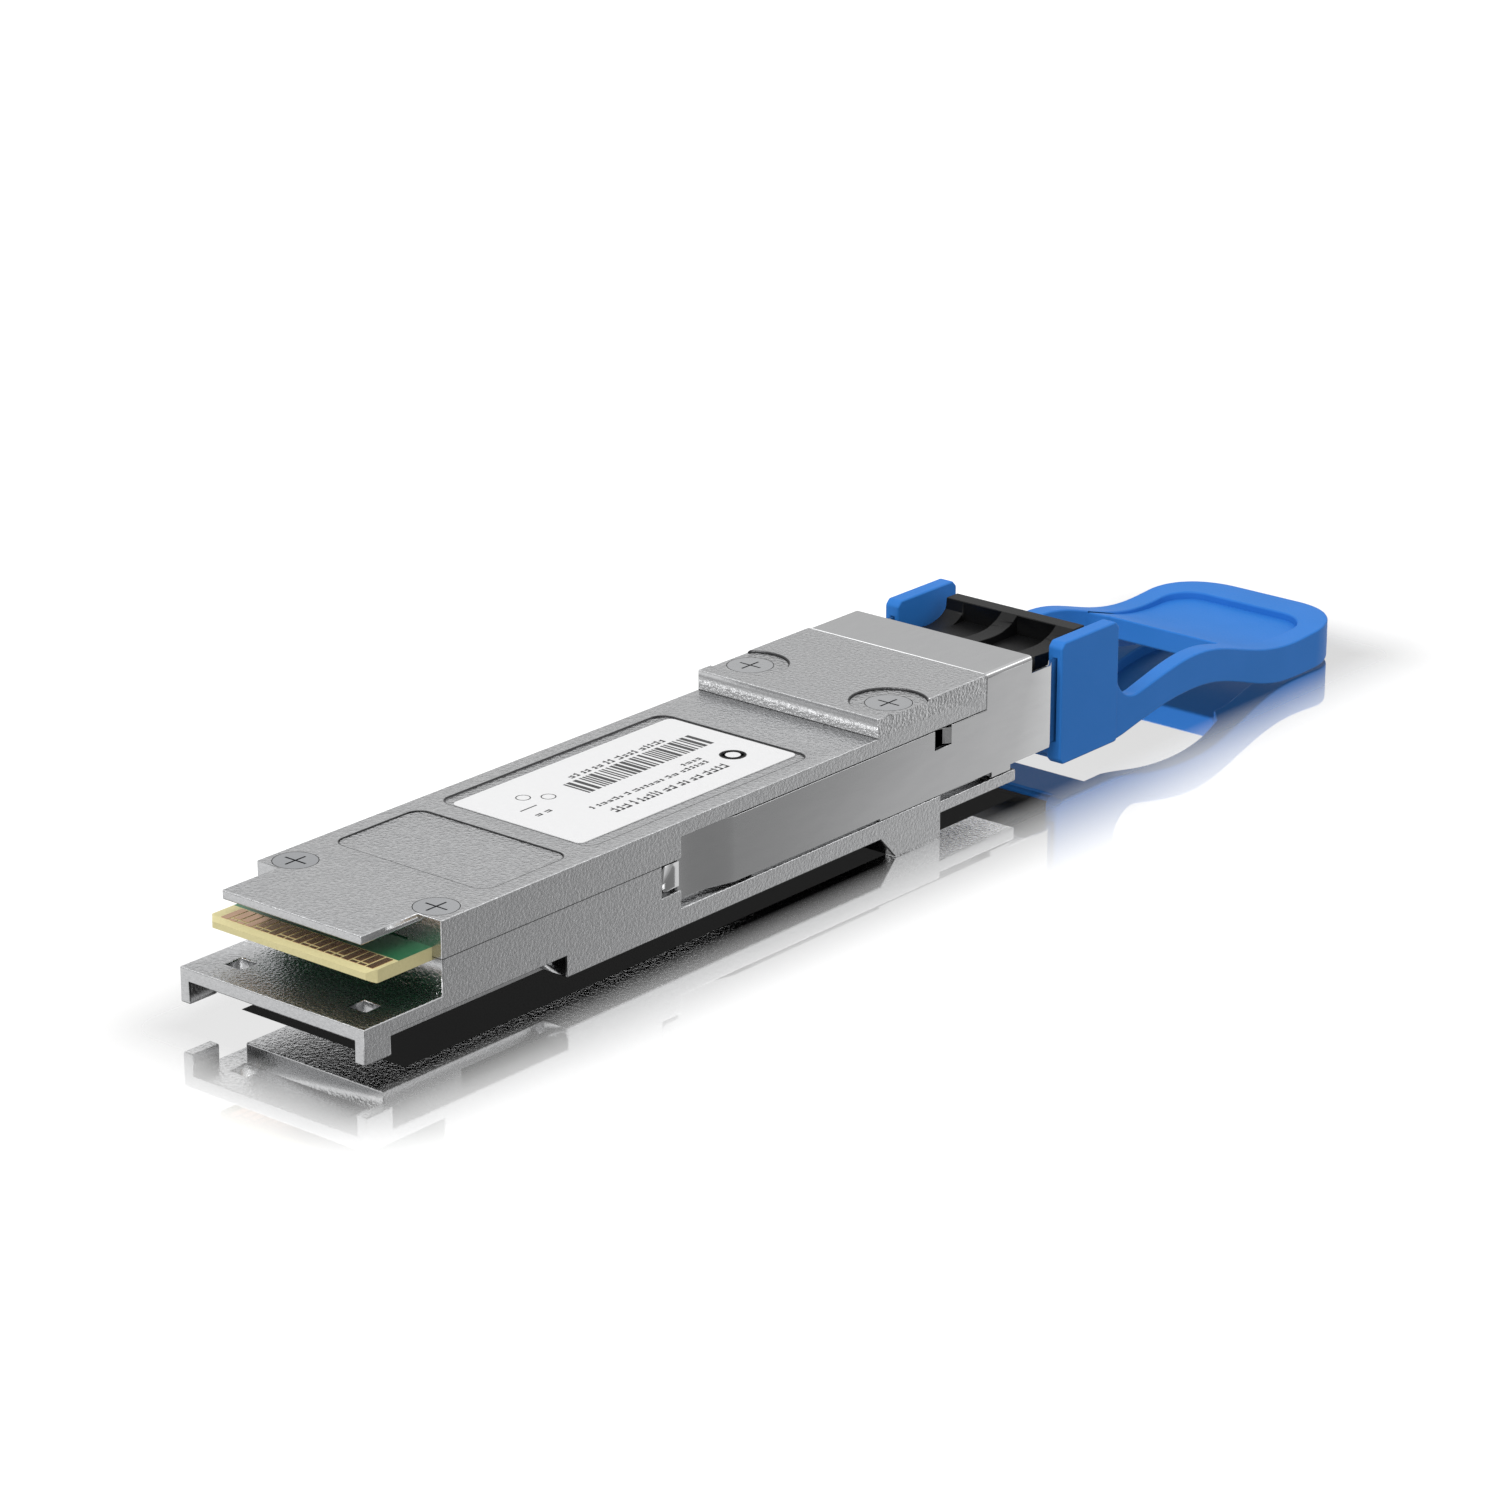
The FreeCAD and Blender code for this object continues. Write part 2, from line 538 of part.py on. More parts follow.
def contacts(z0):
    """Row of gold fingers: grounds run long, signals are split from a short lead pad."""
    fingers = []
    for index in range(PAD_COUNT):
        x = PAD_ROW_X + (index - (PAD_COUNT - 1) / 2.0) * PAD_PITCH
        sides = (x - PAD_WIDTH / 2.0, x + PAD_WIDTH / 2.0)
        top = z0 + PAD_THICK
        if index in GROUND_PADS:
            fingers.append(block(*sides, *PAD_D, z0, top))
        else:
            fingers.append(block(*sides, PAD_D[0], SIGNAL_SPLIT_D[0], z0, top))
            fingers.append(block(*sides, SIGNAL_SPLIT_D[1], PAD_D[1], z0, top))
    return Part.makeCompound(fingers)


def product_label():
    floor = COVER_TOP_Z - LABEL_RECESS_DEPTH
    return rounded_plate(LABEL_HALF_WIDTH, *LABEL_D, floor, floor + LABEL_THICK, LABEL_CORNER)


def rib_relief(line, x0, x1):
    """Material taken off above the ribs between the flange and the front bar."""
    above = RECEPTACLE_TOP_Z + 1.0
    rim = [line[-1], (line[-1][0], above), (line[0][0], above), line[0], line[1]]
    outline = face_of([smooth_edge(x0, line[1:])] + straight_edges(x0, rim))
    return outline.extrude(Vector(x1 - x0, 0, 0))


def lc_receptacle():
    half = RECEPTACLE_HALF_WIDTH
    low = RECEPTACLE_BOTTOM_Z
    front = across(half, FLANGE_D[0], RECEPTACLE_END_D, low, RECEPTACLE_TOP_Z)
    rear = across(half, CAVITY_C_END_D, FLANGE_D[0], low, RECEPTACLE_REAR_TOP_Z)
    flange = across(FLANGE_HALF_WIDTH, *FLANGE_D, NOSE_SIDE_FLOOR_Z, FLANGE_TOP_Z)
    body = front.multiFuse([rear, flange]).removeSplitter()
    port = block(
        PORT_X - PORT_HALF, PORT_X + PORT_HALF, PORT_BACK_D, RECEPTACLE_END_D,
        PORT_Z - PORT_HALF, PORT_Z + PORT_HALF,
    )
    latch_window = block(*LATCH_WINDOW_X, *LATCH_WINDOW_D, LATCH_WINDOW_FLOOR_Z, RECEPTACLE_TOP_Z)
    latch_hole = block(*LATCH_WINDOW_X, LATCH_WINDOW_D[0], LATCH_HOLE_END_D, PORT_Z, LATCH_WINDOW_FLOOR_Z)
    channel = block(
        PORT_X - LATCH_CHANNEL_HALF, PORT_X + LATCH_CHANNEL_HALF, LATCH_WINDOW_D[0], RECEPTACLE_END_D,
        PORT_Z, LATCH_CHANNEL_TOP_Z,
    )
    barrel_bore = rod(PORT_X, PORT_Z, CAVITY_C_END_D, PORT_BACK_D, BARREL_TUBE_RADIUS + SCREW_GAP)
    tools = pair(port) + pair(latch_window) + pair(latch_hole) + pair(channel) + pair(barrel_bore)
    tools += [
        rib_relief(OUTER_RIB, LATCH_WINDOW_X[1], half),
        rib_relief(INNER_RIB, -half, LATCH_WINDOW_X[1]),
    ]
    return body.cut(tools)


def optical_package(side):
    """Sealed laser or photodiode package with a stepped lid."""
    x0, x1 = PACKAGE_X
    lid = PACKAGE_LID
    case = block(x0, x1, *PACKAGE_D, PACKAGE_Z[0], PACKAGE_Z[1] - lid)
    cap = block(x0 + lid, x1 - lid, PACKAGE_D[0] + lid, PACKAGE_D[1] - lid, PACKAGE_Z[1] - lid, PACKAGE_Z[1])
    package = case.fuse(cap)
    return package if side > 0 else mirrored(package)


def optical_barrel(side):
    """Turned barrel from the package through its flange into the port."""
    x = side * PORT_X
    stem = rod(x, PORT_Z, PACKAGE_D[1], BARREL_FLANGE_D[0], BARREL_RADIUS)
    flange = rod(x, PORT_Z, *BARREL_FLANGE_D, BARREL_FLANGE_RADIUS)
    tube = rod(x, PORT_Z, BARREL_FLANGE_D[1], BARREL_END_D, BARREL_TUBE_RADIUS)
    bore = rod(x, PORT_Z, BARREL_BORE_D, BARREL_END_D, BARREL_BORE)
    return stem.multiFuse([flange, tube]).cut(bore)


def ferrule_sleeves():
    outer = rod(PORT_X, PORT_Z, BARREL_BORE_D, SLEEVE_END_D, SLEEVE_RADII[0])
    bore = rod(PORT_X, PORT_Z, BARREL_BORE_D, SLEEVE_END_D, SLEEVE_RADII[1])
    return Part.makeCompound(pair(outer.cut(bore)))


def barrel_clamp():
    """Plate across the housing that holds both barrels behind their flanges."""
    plate = across(CAVITY_C_HALF_WIDTH - RUNNING_GAP, *CLAMP_D, CAVITY_FLOOR_Z, CAVITY_ROOF_Z - RUNNING_GAP)
    holes = rod(PORT_X, PORT_Z, *CLAMP_D, BARREL_RADIUS + SCREW_GAP)
    return plate.cut(pair(holes))


def flex(side):
    """Thin flexible circuit from the board's top to the rear of a package."""
    top = BOARD_Z[1]
    low = FLEX_LOW_Z
    rear = PACKAGE_D[0]
    bend = top - low - 1.0
    face = rear - FLEX_THICK
    profile = [
        (FLEX_REAR_D, top), (rear - 1.6, top), (rear - 0.4, low + bend - 0.2), (face, low + bend - 0.2),
        (face, low), (rear, low), (rear, low + bend - 0.05), (rear - 0.3, low + bend - 0.05),
        (rear - 1.5, top + FLEX_THICK), (FLEX_REAR_D, top + FLEX_THICK),
    ]
    strip = side_prism(profile, *FLEX_X)
    return strip if side > 0 else mirrored(strip)


def chip(x, d, width, length, height):
    """Part standing on the board, centred on x, d."""
    low = BOARD_Z[1]
    half_wide = width / 2.0
    half_long = length / 2.0
    return block(x - half_wide, x + half_wide, d - half_long, d + half_long, low, low + height)


def passives():
    """Rows of small capacitors and resistors on the board's top."""
    pieces = []
    for column in range(PASSIVE_COLUMNS):
        x = (column - (PASSIVE_COLUMNS - 1) / 2.0) * PASSIVE_PITCH
        for row, d in enumerate(PASSIVE_ROWS_D):
            width, length = PASSIVE_SIZES[(column + row) % 2]
            pieces.append(chip(x, d, width, length, PASSIVE_HEIGHT))
    return Part.makeCompound(pieces)


def retimer_pad():
    """Soft pad between the retimer chip and the cover."""
    x, d = RETIMER[:2]
    half = RETIMER_PAD_HALF
    return block(x - half, x + half, d - half, d + half, BOARD_Z[1] + RETIMER[4], CAVITY_ROOF_Z)


def package_pads():
    """Soft pads under the two optical packages."""
    side, end = PACKAGE_PAD_INSET
    pad = block(
        PACKAGE_X[0] + side, PACKAGE_X[1] - side, PACKAGE_D[0] + end, PACKAGE_D[1] - end,
        CAVITY_FLOOR_Z, PACKAGE_Z[0],
    )
    return Part.makeCompound(pair(pad))


def tab_ribbon(lower_by):
    """Side profile of the pull tab's ears, arms and thumb grip, full width."""
    left = -EAR_X[1]

    def moved(points):
        return [(d, z - lower_by) for d, z in points]

    corners = [
        (EAR_LOW_D, EAR_BOTTOM_Z), (EAR_REAR_D + EAR_ROUND, EAR_BOTTOM_Z), (EAR_REAR_D, EAR_BOTTOM_Z + EAR_ROUND),
        (EAR_REAR_D, EAR_TOP_Z - EAR_CHAMFER), (EAR_REAR_D + EAR_CHAMFER, EAR_TOP_Z),
        (EAR_FRONT_D - EAR_ROUND, EAR_TOP_Z), (EAR_FRONT_D, EAR_TOP_Z - EAR_ROUND), THROAT_LINE[0],
    ]
    tip = [ARM_TOP_LINE[-1], ARM_UNDER_LINE[0]]
    edges = [smooth_edge(left, moved(run)) for run in (THROAT_LINE, ARM_TOP_LINE, ARM_UNDER_LINE)]
    edges += straight_edges(left, moved(corners)) + straight_edges(left, moved(tip))
    return face_of(edges).extrude(Vector(2.0 * EAR_X[1], 0, 0))


def over_line(line, high):
    """Everything above a smooth (d, z) line, across the pull tab's width."""
    left = -EAR_X[1]
    rim = [line[-1], (line[-1][0], high), (line[0][0], high), line[0]]
    outline = face_of([smooth_edge(left, line)] + straight_edges(left, rim))
    return outline.extrude(Vector(2.0 * EAR_X[1], 0, 0))


def tab_plan():
    """Plan outline of the pull tab: ears, slightly narrower arms and a round tip."""
    high = EAR_TOP_Z + 1.0
    ears = across(EAR_X[1], EAR_REAR_D, EAR_FRONT_D, -1.0, high)
    arms = across(TAB_HALF_WIDTH, EAR_FRONT_D, TIP_D, -1.0, high)
    tip_y = at(0, TIP_D, 0).y
    tip_edges = [e for e in upright_edges(arms) if abs(e.Vertexes[0].Y - tip_y) < TOUCH]
    return ears.fuse(arms.makeFillet(PADDLE_CORNER, tip_edges))


def pull_tab():
    high = EAR_TOP_Z + 1.0
    body = tab_ribbon(0.0).common(tab_plan())
    right = [(EAR_X[0], CROSS_PLATE_D[1])] + list(WINDOW_SIDE)
    window = plan_prism(right + [(-x, d) for x, d in reversed(right)], -1.0, high)
    room = across(EAR_X[0], EAR_REAR_D, CROSS_PLATE_D[1], CROSS_PLATE_Z, high)
    under = across(EAR_X[0], EAR_REAR_D, CROSS_PLATE_D[0], -1.0, high)
    tail_slot = block(TAIL_X - SHEET, TAIL_X, EAR_REAR_D, TAIL_D[1], *TAIL_Z)
    rear_open = RECESS_D[0] - THUMB_CORNER
    thumb = rounded_plate(RECESS_HALF, rear_open, RECESS_D[1], 0.0, high, THUMB_CORNER)
    thumb = thumb.common(across(RECESS_HALF, *RECESS_D, 0.0, high)).common(over_line(THUMB_LINE, high))
    hollow = rounded_plate(UNDER_RECESS_HALF, *UNDER_RECESS_D, -1.0, UNDER_RECESS_CEILING, THUMB_CORNER)
    hollow = hollow.cut(tab_ribbon(-UNDER_RECESS_DEPTH))
    return body.cut([window, room, under, thumb, hollow] + pair(tail_slot))


def nodes():
    """Every sub-part by its node name."""
    spring = return_spring()
    pad_low = BOARD_Z[0] - PAD_THICK
    front_head_top = BLOCK_TOP_Z - FRONT_SCREW_POCKET_DEPTH
    return {
        "bottom_housing": bottom_housing(),
        "top_cover": top_cover(),
        "rear_screws": screws(REAR_SCREW, REAR_SCREW_RADIUS, COVER_TOP_Z),
        "front_screws": screws(FRONT_SCREW, FRONT_SCREW_RADIUS, front_head_top),
        "delatch_slider": delatch_slider(),
        "return_spring_right": spring,
        "return_spring_left": mirrored(spring),
        "pull_tab": pull_tab(),
        "lc_receptacle": lc_receptacle(),
        "circuit_board": circuit_board(),
        "contacts_top": contacts(BOARD_Z[1]),
        "contacts_bottom": contacts(pad_low),
        "product_label": product_label(),
        "transmitter_package": optical_package(1),
        "receiver_package": optical_package(-1),
        "transmitter_barrel": optical_barrel(1),
        "receiver_barrel": optical_barrel(-1),
        "ferrule_sleeves": ferrule_sleeves(),
        "barrel_clamp": barrel_clamp(),
        "transmitter_flex": flex(1),
        "receiver_flex": flex(-1),
        "retimer_chip": chip(*RETIMER),
        "laser_driver_chip": chip(*LASER_DRIVER),
        "amplifier_chip": chip(*AMPLIFIER),
        "microcontroller": chip(*MICROCONTROLLER),
        "passives": passives(),
        "retimer_thermal_pad": retimer_pad(),
        "package_thermal_pads": package_pads(),
    }


def write_parts():
    os.makedirs("parts", exist_ok=True)
    for name, shape in nodes().items():
        if not shape.isValid() or not shape.Solids:
            raise ValueError(name + " is not a sound solid")
        print(name, len(shape.Solids), round(shape.Volume, 3))
        shape.exportStep("parts/" + name + ".step")


write_parts()
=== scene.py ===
import json
import math
import random

import bmesh
import bpy
from mathutils import Matrix, Vector


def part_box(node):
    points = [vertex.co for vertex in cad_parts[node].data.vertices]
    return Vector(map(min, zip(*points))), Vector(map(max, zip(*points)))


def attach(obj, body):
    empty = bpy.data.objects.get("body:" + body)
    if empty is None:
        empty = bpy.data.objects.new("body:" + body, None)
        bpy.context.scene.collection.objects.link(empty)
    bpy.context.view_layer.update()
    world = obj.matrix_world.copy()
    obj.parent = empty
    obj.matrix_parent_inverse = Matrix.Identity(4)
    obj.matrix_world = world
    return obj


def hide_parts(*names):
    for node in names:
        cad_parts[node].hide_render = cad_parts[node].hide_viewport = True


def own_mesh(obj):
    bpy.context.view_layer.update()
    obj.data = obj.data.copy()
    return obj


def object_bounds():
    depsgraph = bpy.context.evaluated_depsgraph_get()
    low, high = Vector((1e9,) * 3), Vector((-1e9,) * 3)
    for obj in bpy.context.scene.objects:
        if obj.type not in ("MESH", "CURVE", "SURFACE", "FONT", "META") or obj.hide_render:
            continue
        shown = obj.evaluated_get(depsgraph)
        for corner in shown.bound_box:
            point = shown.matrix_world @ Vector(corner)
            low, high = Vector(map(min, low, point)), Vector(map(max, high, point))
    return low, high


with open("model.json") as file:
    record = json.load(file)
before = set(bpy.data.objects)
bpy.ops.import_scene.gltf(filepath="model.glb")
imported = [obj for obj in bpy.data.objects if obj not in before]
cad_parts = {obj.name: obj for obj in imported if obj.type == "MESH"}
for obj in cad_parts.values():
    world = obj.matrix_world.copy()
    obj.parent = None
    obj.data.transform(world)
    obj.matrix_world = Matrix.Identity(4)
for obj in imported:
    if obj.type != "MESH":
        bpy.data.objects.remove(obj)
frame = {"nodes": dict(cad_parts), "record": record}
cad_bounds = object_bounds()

MM = 0.001

# Landmarks of the module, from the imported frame
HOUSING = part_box("bottom_housing")
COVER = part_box("top_cover")
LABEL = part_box("product_label")
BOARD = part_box("circuit_board")
WHOLE_LOW, WHOLE_HIGH = Vector(cad_bounds[0]), Vector(cad_bounds[1])

# The housing's rear plate reaches this far behind the body's rear face
REAR_PLATE_REACH = 8.0 * MM
REAR_FACE_Y = HOUSING[1].y - REAR_PLATE_REACH
PARTING_Z = 7.47 * MM
COVER_TOP_Z = 10.43 * MM
BLOCK_TOP_Z = COVER[1].z
MASK_EDGE_Y = BOARD[1].y - 2.75 * MM

# Outlines cast into the cover, in mm: half width, start and end ahead of the rear face, corner
CAST_PANELS = ((7.6, 6.15, 15.3, 1.2), (7.6, 17.4, 42.9, 1.2))

# Pockets of the front screws, in mm: distance from the middle and from the rear face, radius
SCREW_POCKET = (7.04, 53.1, 3.1)
BLOCK_REAR_D = 49.15 * MM

# How far a line reaches above and below its level: on the cover's top, on the raised block
TOP_ZONE = 0.16 * MM
BLOCK_ZONE = 0.3 * MM

# Half widths of the thin lines of painted shade
SEAM_LINE = 0.045 * MM
PANEL_LINE = 0.09 * MM
POCKET_LINE = 0.10 * MM
STEP_LINE = 0.06 * MM

# Rounding of worn edges
CAST_EDGE = 0.12 * MM
SHEET_EDGE = 0.05 * MM
TAB_EDGE = 0.18 * MM
PORT_EDGE = 0.08 * MM
LABEL_EDGE = 0.02 * MM
SLIM_EDGE_SHARE = 0.3
SEAM_REACH = 0.1 * MM
SAME_PLANE = 0.01 * MM
CASTINGS = ("top_cover", "bottom_housing")

# Generic print on the label, in mm: x, then the distance behind the label's front edge
PRINT_LIFT = 0.004
BAR_STRIP_X = (0.10, 2.78)
BAR_STRIP_D = (2.15, 16.8)
BAR_WIDTHS = (0.20, 0.20, 0.32, 0.42)
BAR_GAPS = (0.15, 0.15, 0.24, 0.30)
DASH_ROWS = (
    # x, height, start, stop
    (3.15, 0.80, 4.3, 14.7),
    (-1.55, 0.55, 5.5, 7.5),
    (-2.45, 0.60, 5.7, 19.4),
    (-4.25, 1.05, 5.4, 18.2),
    (-0.35, 0.55, 21.2, 22.6),
)
DASH_RUN = (0.24, 0.62)
DASH_GAPS = (0.18, 0.18, 0.45)
DASH_TALL = (0.6, 1.0)
DASH_CROSSBAR = 0.6
DASH_FOOT = 0.22
STROKE = 0.15
RULE = (1.30, 1.44, 21.1, 22.9)
MARK_PLACE = (-2.75, 3.3)
MARK_RADII = (0.70, 0.84, 0.98)
MARK_STROKE = 0.17
MARK_BLOCKS = 48
SMALL_RINGS = ((3.2, 20.6), (1.9, 19.2))
SMALL_RING_RADIUS = 0.55
SMALL_RING_STROKE = 0.09
SMALL_RING_BLOCKS = 40

# Return springs
SPRING_WIRE_RADIUS = 0.10 * MM
SPRING_TURNS = 11
SPRING_STEPS = 22
SPRING_SIDES = 8
SPRING_CLOSED_SHARE = 0.09
SPRING_CLOSED_PITCH = 2.2 * SPRING_WIRE_RADIUS

# Camera, a long lens over the module's card end
CAMERA_PLACE = Vector((-0.23363, REAR_FACE_Y + 0.23405, 0.14031))
CAMERA_AZIMUTH = math.radians(219.97)
CAMERA_ELEVATION = math.radians(19.90)
CAMERA_LENS = 119.2
CAMERA_SENSOR = 36.0
CAMERA_NEAR = 0.01

# Studio
SKY = 0.86
FLOOR_SIZE = 4.0
FLOOR_DROP = 0.02 * MM
FLOOR_GLOW = 0.10
FLOOR_WHITE = 0.96
MIRROR_FADE = 15.0 * MM
MIRROR_FADE_POWER = 1.4
MIRROR_ROUGHNESS = 0.03
# Placement of a dark sheet of painted shadow under the module's body
UNDERLAY_DROP = 0.01 * MM
UNDERLAY_SIDE_INSET = 1.0 * MM
UNDERLAY_END_INSET = 0.4 * MM
UNDERLAY_REAR_REACH = 3.4 * MM
KEY_PLACE = (-0.10, 0.55, 0.60)
KEY_SIZE = 0.45
KEY_WATTS = 2.6

# Strength of the sky along a part of its direction: low, high, and where the change starts and ends
SKY_SIDE = (0.38, 1.25, -0.605, -0.54)
SKY_DEPTH = (0.04, 1.0, -0.85, -0.30)
SKY_HORIZON = (0.0, 1.0, -0.10, 0.04)
SKY_RISE = (0.62, 1.12, 0.10, 0.62)

# Small bright windows of the studio that catch rounded edges:
# direction, inner and outer angle in degrees, brightness over the sky
STRIP_LIGHTS = (
    ((-0.34, -0.72, 0.60), 5.0, 11.0, 2.2),
    ((0.604, 0.339, 0.72), 5.0, 11.0, 2.2),
    ((-0.72, 0.60, -0.34), 5.0, 11.0, 2.2),
)


# ---------------------------------------------------------------- node helpers

class Graph:
    """Small helper that builds a material's node tree."""

    def __init__(self, name):
        self.material = bpy.data.materials.new(name)
        self.material.use_nodes = True
        self.tree = self.material.node_tree
        self.tree.nodes.clear()
        self.output = self.node("ShaderNodeOutputMaterial")

    def node(self, kind, **values):
        made = self.tree.nodes.new(kind)
        for key, value in values.items():
            setattr(made, key, value)
        return made

    def link(self, source, target):
        self.tree.links.new(source, target)

    def value(self, node, **inputs):
        """Sets a node's unlinked inputs by name, with _ standing for a space."""
        for key, value in inputs.items():
            node.inputs[key.replace("_", " ")].default_value = value
        return node

    def place(self):
        """Position on the piece at rest, in metres."""
        return self.node("ShaderNodeTexCoord").outputs["Object"]

    def axes(self, source):
        """The X, Y and Z parts of a vector."""
        split = self.node("ShaderNodeSeparateXYZ")
        self.link(source, split.inputs["Vector"])
        return split.outputs["X"], split.outputs["Y"], split.outputs["Z"]

    def facing(self):
        """The direction that the surface faces, in the piece's own axes."""
        return self.axes(self.node("ShaderNodeTexCoord").outputs["Normal"])

    def noise(self, scale, detail=2.0, roughness=0.5, stretch=None):
        texture = self.node("ShaderNodeTexNoise")
        self.value(texture, Scale=scale, Detail=detail, Roughness=roughness)
        source = self.place()
        if stretch:
            mapping = self.node("ShaderNodeMapping")
            mapping.inputs["Scale"].default_value = stretch
            self.link(source, mapping.inputs["Vector"])
            source = mapping.outputs["Vector"]
        self.link(source, texture.inputs["Vector"])
        return texture.outputs["Fac"]

    def ramp(self, source, low, high, start, end):
        """Maps source from start..end onto low..high, clamped."""
        mapped = self.node("ShaderNodeMapRange")
        mapped.clamp = True
        mapped.inputs["From Min"].default_value = start
        mapped.inputs["From Max"].default_value = end
        mapped.inputs["To Min"].default_value = low
        mapped.inputs["To Max"].default_value = high
        self.link(source, mapped.inputs["Value"])
        return mapped.outputs["Result"]

    def math(self, operation, first, second=None):
        made = self.node("ShaderNodeMath", operation=operation)
        for socket, item in zip(made.inputs, (first, second)):
            if item is None:
                continue
            if isinstance(item, (int, float)):
                socket.default_value = item
            else:
                self.link(item, socket)
        return made.outputs["Value"]

    def length(self, first, second):
        """Length of a two-part vector."""
        squares = self.math("ADD", self.math("POWER", first, 2.0), self.math("POWER", second, 2.0))
        return self.math("SQRT", squares)

    def tint(self, factor, first, second):
        """Colour between two colours."""
        made = self.node("ShaderNodeMix", data_type="RGBA")
        if isinstance(factor, (int, float)):
            made.inputs["Factor"].default_value = factor
        else:
            self.link(factor, made.inputs["Factor"])
        for socket, item in ((made.inputs[6], first), (made.inputs[7], second)):
            if isinstance(item, tuple):
                socket.default_value = (*item, 1.0)
            else:
                self.link(item, socket)
        return made.outputs[2]

    def bump(self, height, distance, strength=1.0, base=None):
        made = self.node("ShaderNodeBump")
        self.value(made, Distance=distance)
        if isinstance(strength, float):
            self.value(made, Strength=strength)
        else:
            self.link(strength, made.inputs["Strength"])
        self.link(height, made.inputs["Height"])
        if base is not None:
            self.link(base, made.inputs["Normal"])
        return made.outputs["Normal"]

    def surface(self, colour, roughness, metallic=0.0, normal=None, **inputs):
        shader = self.node("ShaderNodeBsdfPrincipled")
        shader.inputs["Metallic"].default_value = metallic
        for socket, item in (("Base Color", colour), ("Roughness", roughness)):
            if isinstance(item, tuple):
                shader.inputs[socket].default_value = (*item, 1.0)
            elif isinstance(item, float):
                shader.inputs[socket].default_value = item
            else:
                self.link(item, shader.inputs[socket])
        if normal is not None:
            self.link(normal, shader.inputs["Normal"])
        self.value(shader, **inputs)
        self.link(shader.outputs["BSDF"], self.output.inputs["Surface"])
        return self.material


# ------------------------------------------------------------------- materials

def near_zero(g, source, width):
    """1 where a distance is well within the width of zero, falling to 0 at the width."""
    core = 0.6 * width
    return g.ramp(g.math("ABSOLUTE", source), 1.0, 0.0, core, width)


def panel_distance(g, across, along, panel):
    """Distance from a rounded plan rectangle's outline, in metres."""
    half, start, end, corner = (value * MM for value in panel)
    middle = REAR_FACE_Y - (start + end) / 2.0
    from_middle = g.math("ABSOLUTE", g.math("SUBTRACT", along, middle))
    past_x = g.math("SUBTRACT", g.math("ABSOLUTE", across), half - corner)
    past_y = g.math("SUBTRACT", from_middle, (end - start) / 2.0 - corner)
    outside = g.length(g.math("MAXIMUM", past_x, 0.0), g.math("MAXIMUM", past_y, 0.0))
    inside = g.math("MINIMUM", g.math("MAXIMUM", past_x, past_y), 0.0)
    return g.math("SUBTRACT", g.math("ADD", outside, inside), corner)


def pocket_distance(g, across, along):
    """Distance from the nearer front screw's pocket outline, in metres."""
    x, d, radius = (value * MM for value in SCREW_POCKET)
    past_x = g.math("SUBTRACT", g.math("ABSOLUTE", across), x)
    past_y = g.math("SUBTRACT", along, REAR_FACE_Y - d)
    return g.math("SUBTRACT", g.length(past_x, past_y), radius)


def at_height(g, up, level, reach):
    """1 near a level, to keep a line off the faces above and below it."""
    return near_zero(g, g.math("SUBTRACT", up, level), reach)


def painted_shade_lines(g):
    """Thin lines of painted shade along the parting plane, cast panels, screw pockets and step."""
    across, along, up = g.axes(g.place())
    lines = at_height(g, up, PARTING_Z, SEAM_LINE)
    top_zone = at_height(g, up, COVER_TOP_Z, TOP_ZONE)
    for panel in CAST_PANELS:
        outline = near_zero(g, panel_distance(g, across, along, panel), PANEL_LINE)
        lines = g.math("MAXIMUM", lines, g.math("MULTIPLY", outline, top_zone))
    outline = near_zero(g, pocket_distance(g, across, along), POCKET_LINE)
    block_zone = at_height(g, up, BLOCK_TOP_Z, BLOCK_ZONE)
    lines = g.math("MAXIMUM", lines, g.math("MULTIPLY", outline, block_zone))
    step = near_zero(g, g.math("SUBTRACT", along, REAR_FACE_Y - BLOCK_REAR_D), STEP_LINE)
    step_zone = at_height(g, up, COVER_TOP_Z, STEP_LINE)
    return g.math("MAXIMUM", lines, g.math("MULTIPLY", step, step_zone))


def grain_strength(g):
    """Strong grain on level faces and the front block's flanks, calm on the long sides."""
    facing_x, _, facing_z = g.facing()
    _, _, up = g.axes(g.place())
    level = g.ramp(g.math("ABSOLUTE", facing_z), 0.14, 0.85, 0.3, 0.8)
    raised = g.ramp(up, 0.0, 0.8, COVER_TOP_Z, COVER_TOP_Z + 0.2 * MM)
    flank = g.math("MULTIPLY", raised, g.math("ABSOLUTE", facing_x))
    return g.math("MAXIMUM", level, flank)


def cast_metal():
    """Bright plated casting with a fine leathery grain."""
    g = Graph("cast_metal")
    grain = g.noise(3900.0, 2.0, 0.5)
    fine = g.noise(9500.0, 1.0, 0.5)
    broad = g.noise(120.0, 2.0, 0.5)
    strength = grain_strength(g)
    tone = g.ramp(grain, 0.0, 1.0, 0.35, 0.65)
    calm = g.tint(tone, (0.505, 0.509, 0.517), (0.55, 0.554, 0.562))
    rich = g.tint(tone, (0.455, 0.459, 0.467), (0.60, 0.604, 0.612))
    colour = g.tint(strength, calm, rich)
    colour = g.tint(g.ramp(broad, 0.0, 0.2, 0.4, 0.7), colour, (0.56, 0.56, 0.56))
    # Darkens the casting along its seam, recess and pocket outlines and the step's foot: painted shade
    colour = g.tint(g.math("MULTIPLY", painted_shade_lines(g), 0.9), colour, (0.04, 0.04, 0.042))
    roughness = g.ramp(fine, 0.17, 0.28, 0.3, 0.7)
    normal = g.bump(grain, 0.11 * MM, strength, g.bump(fine, 0.008 * MM))
    return g.surface(colour, roughness, 1.0, normal)


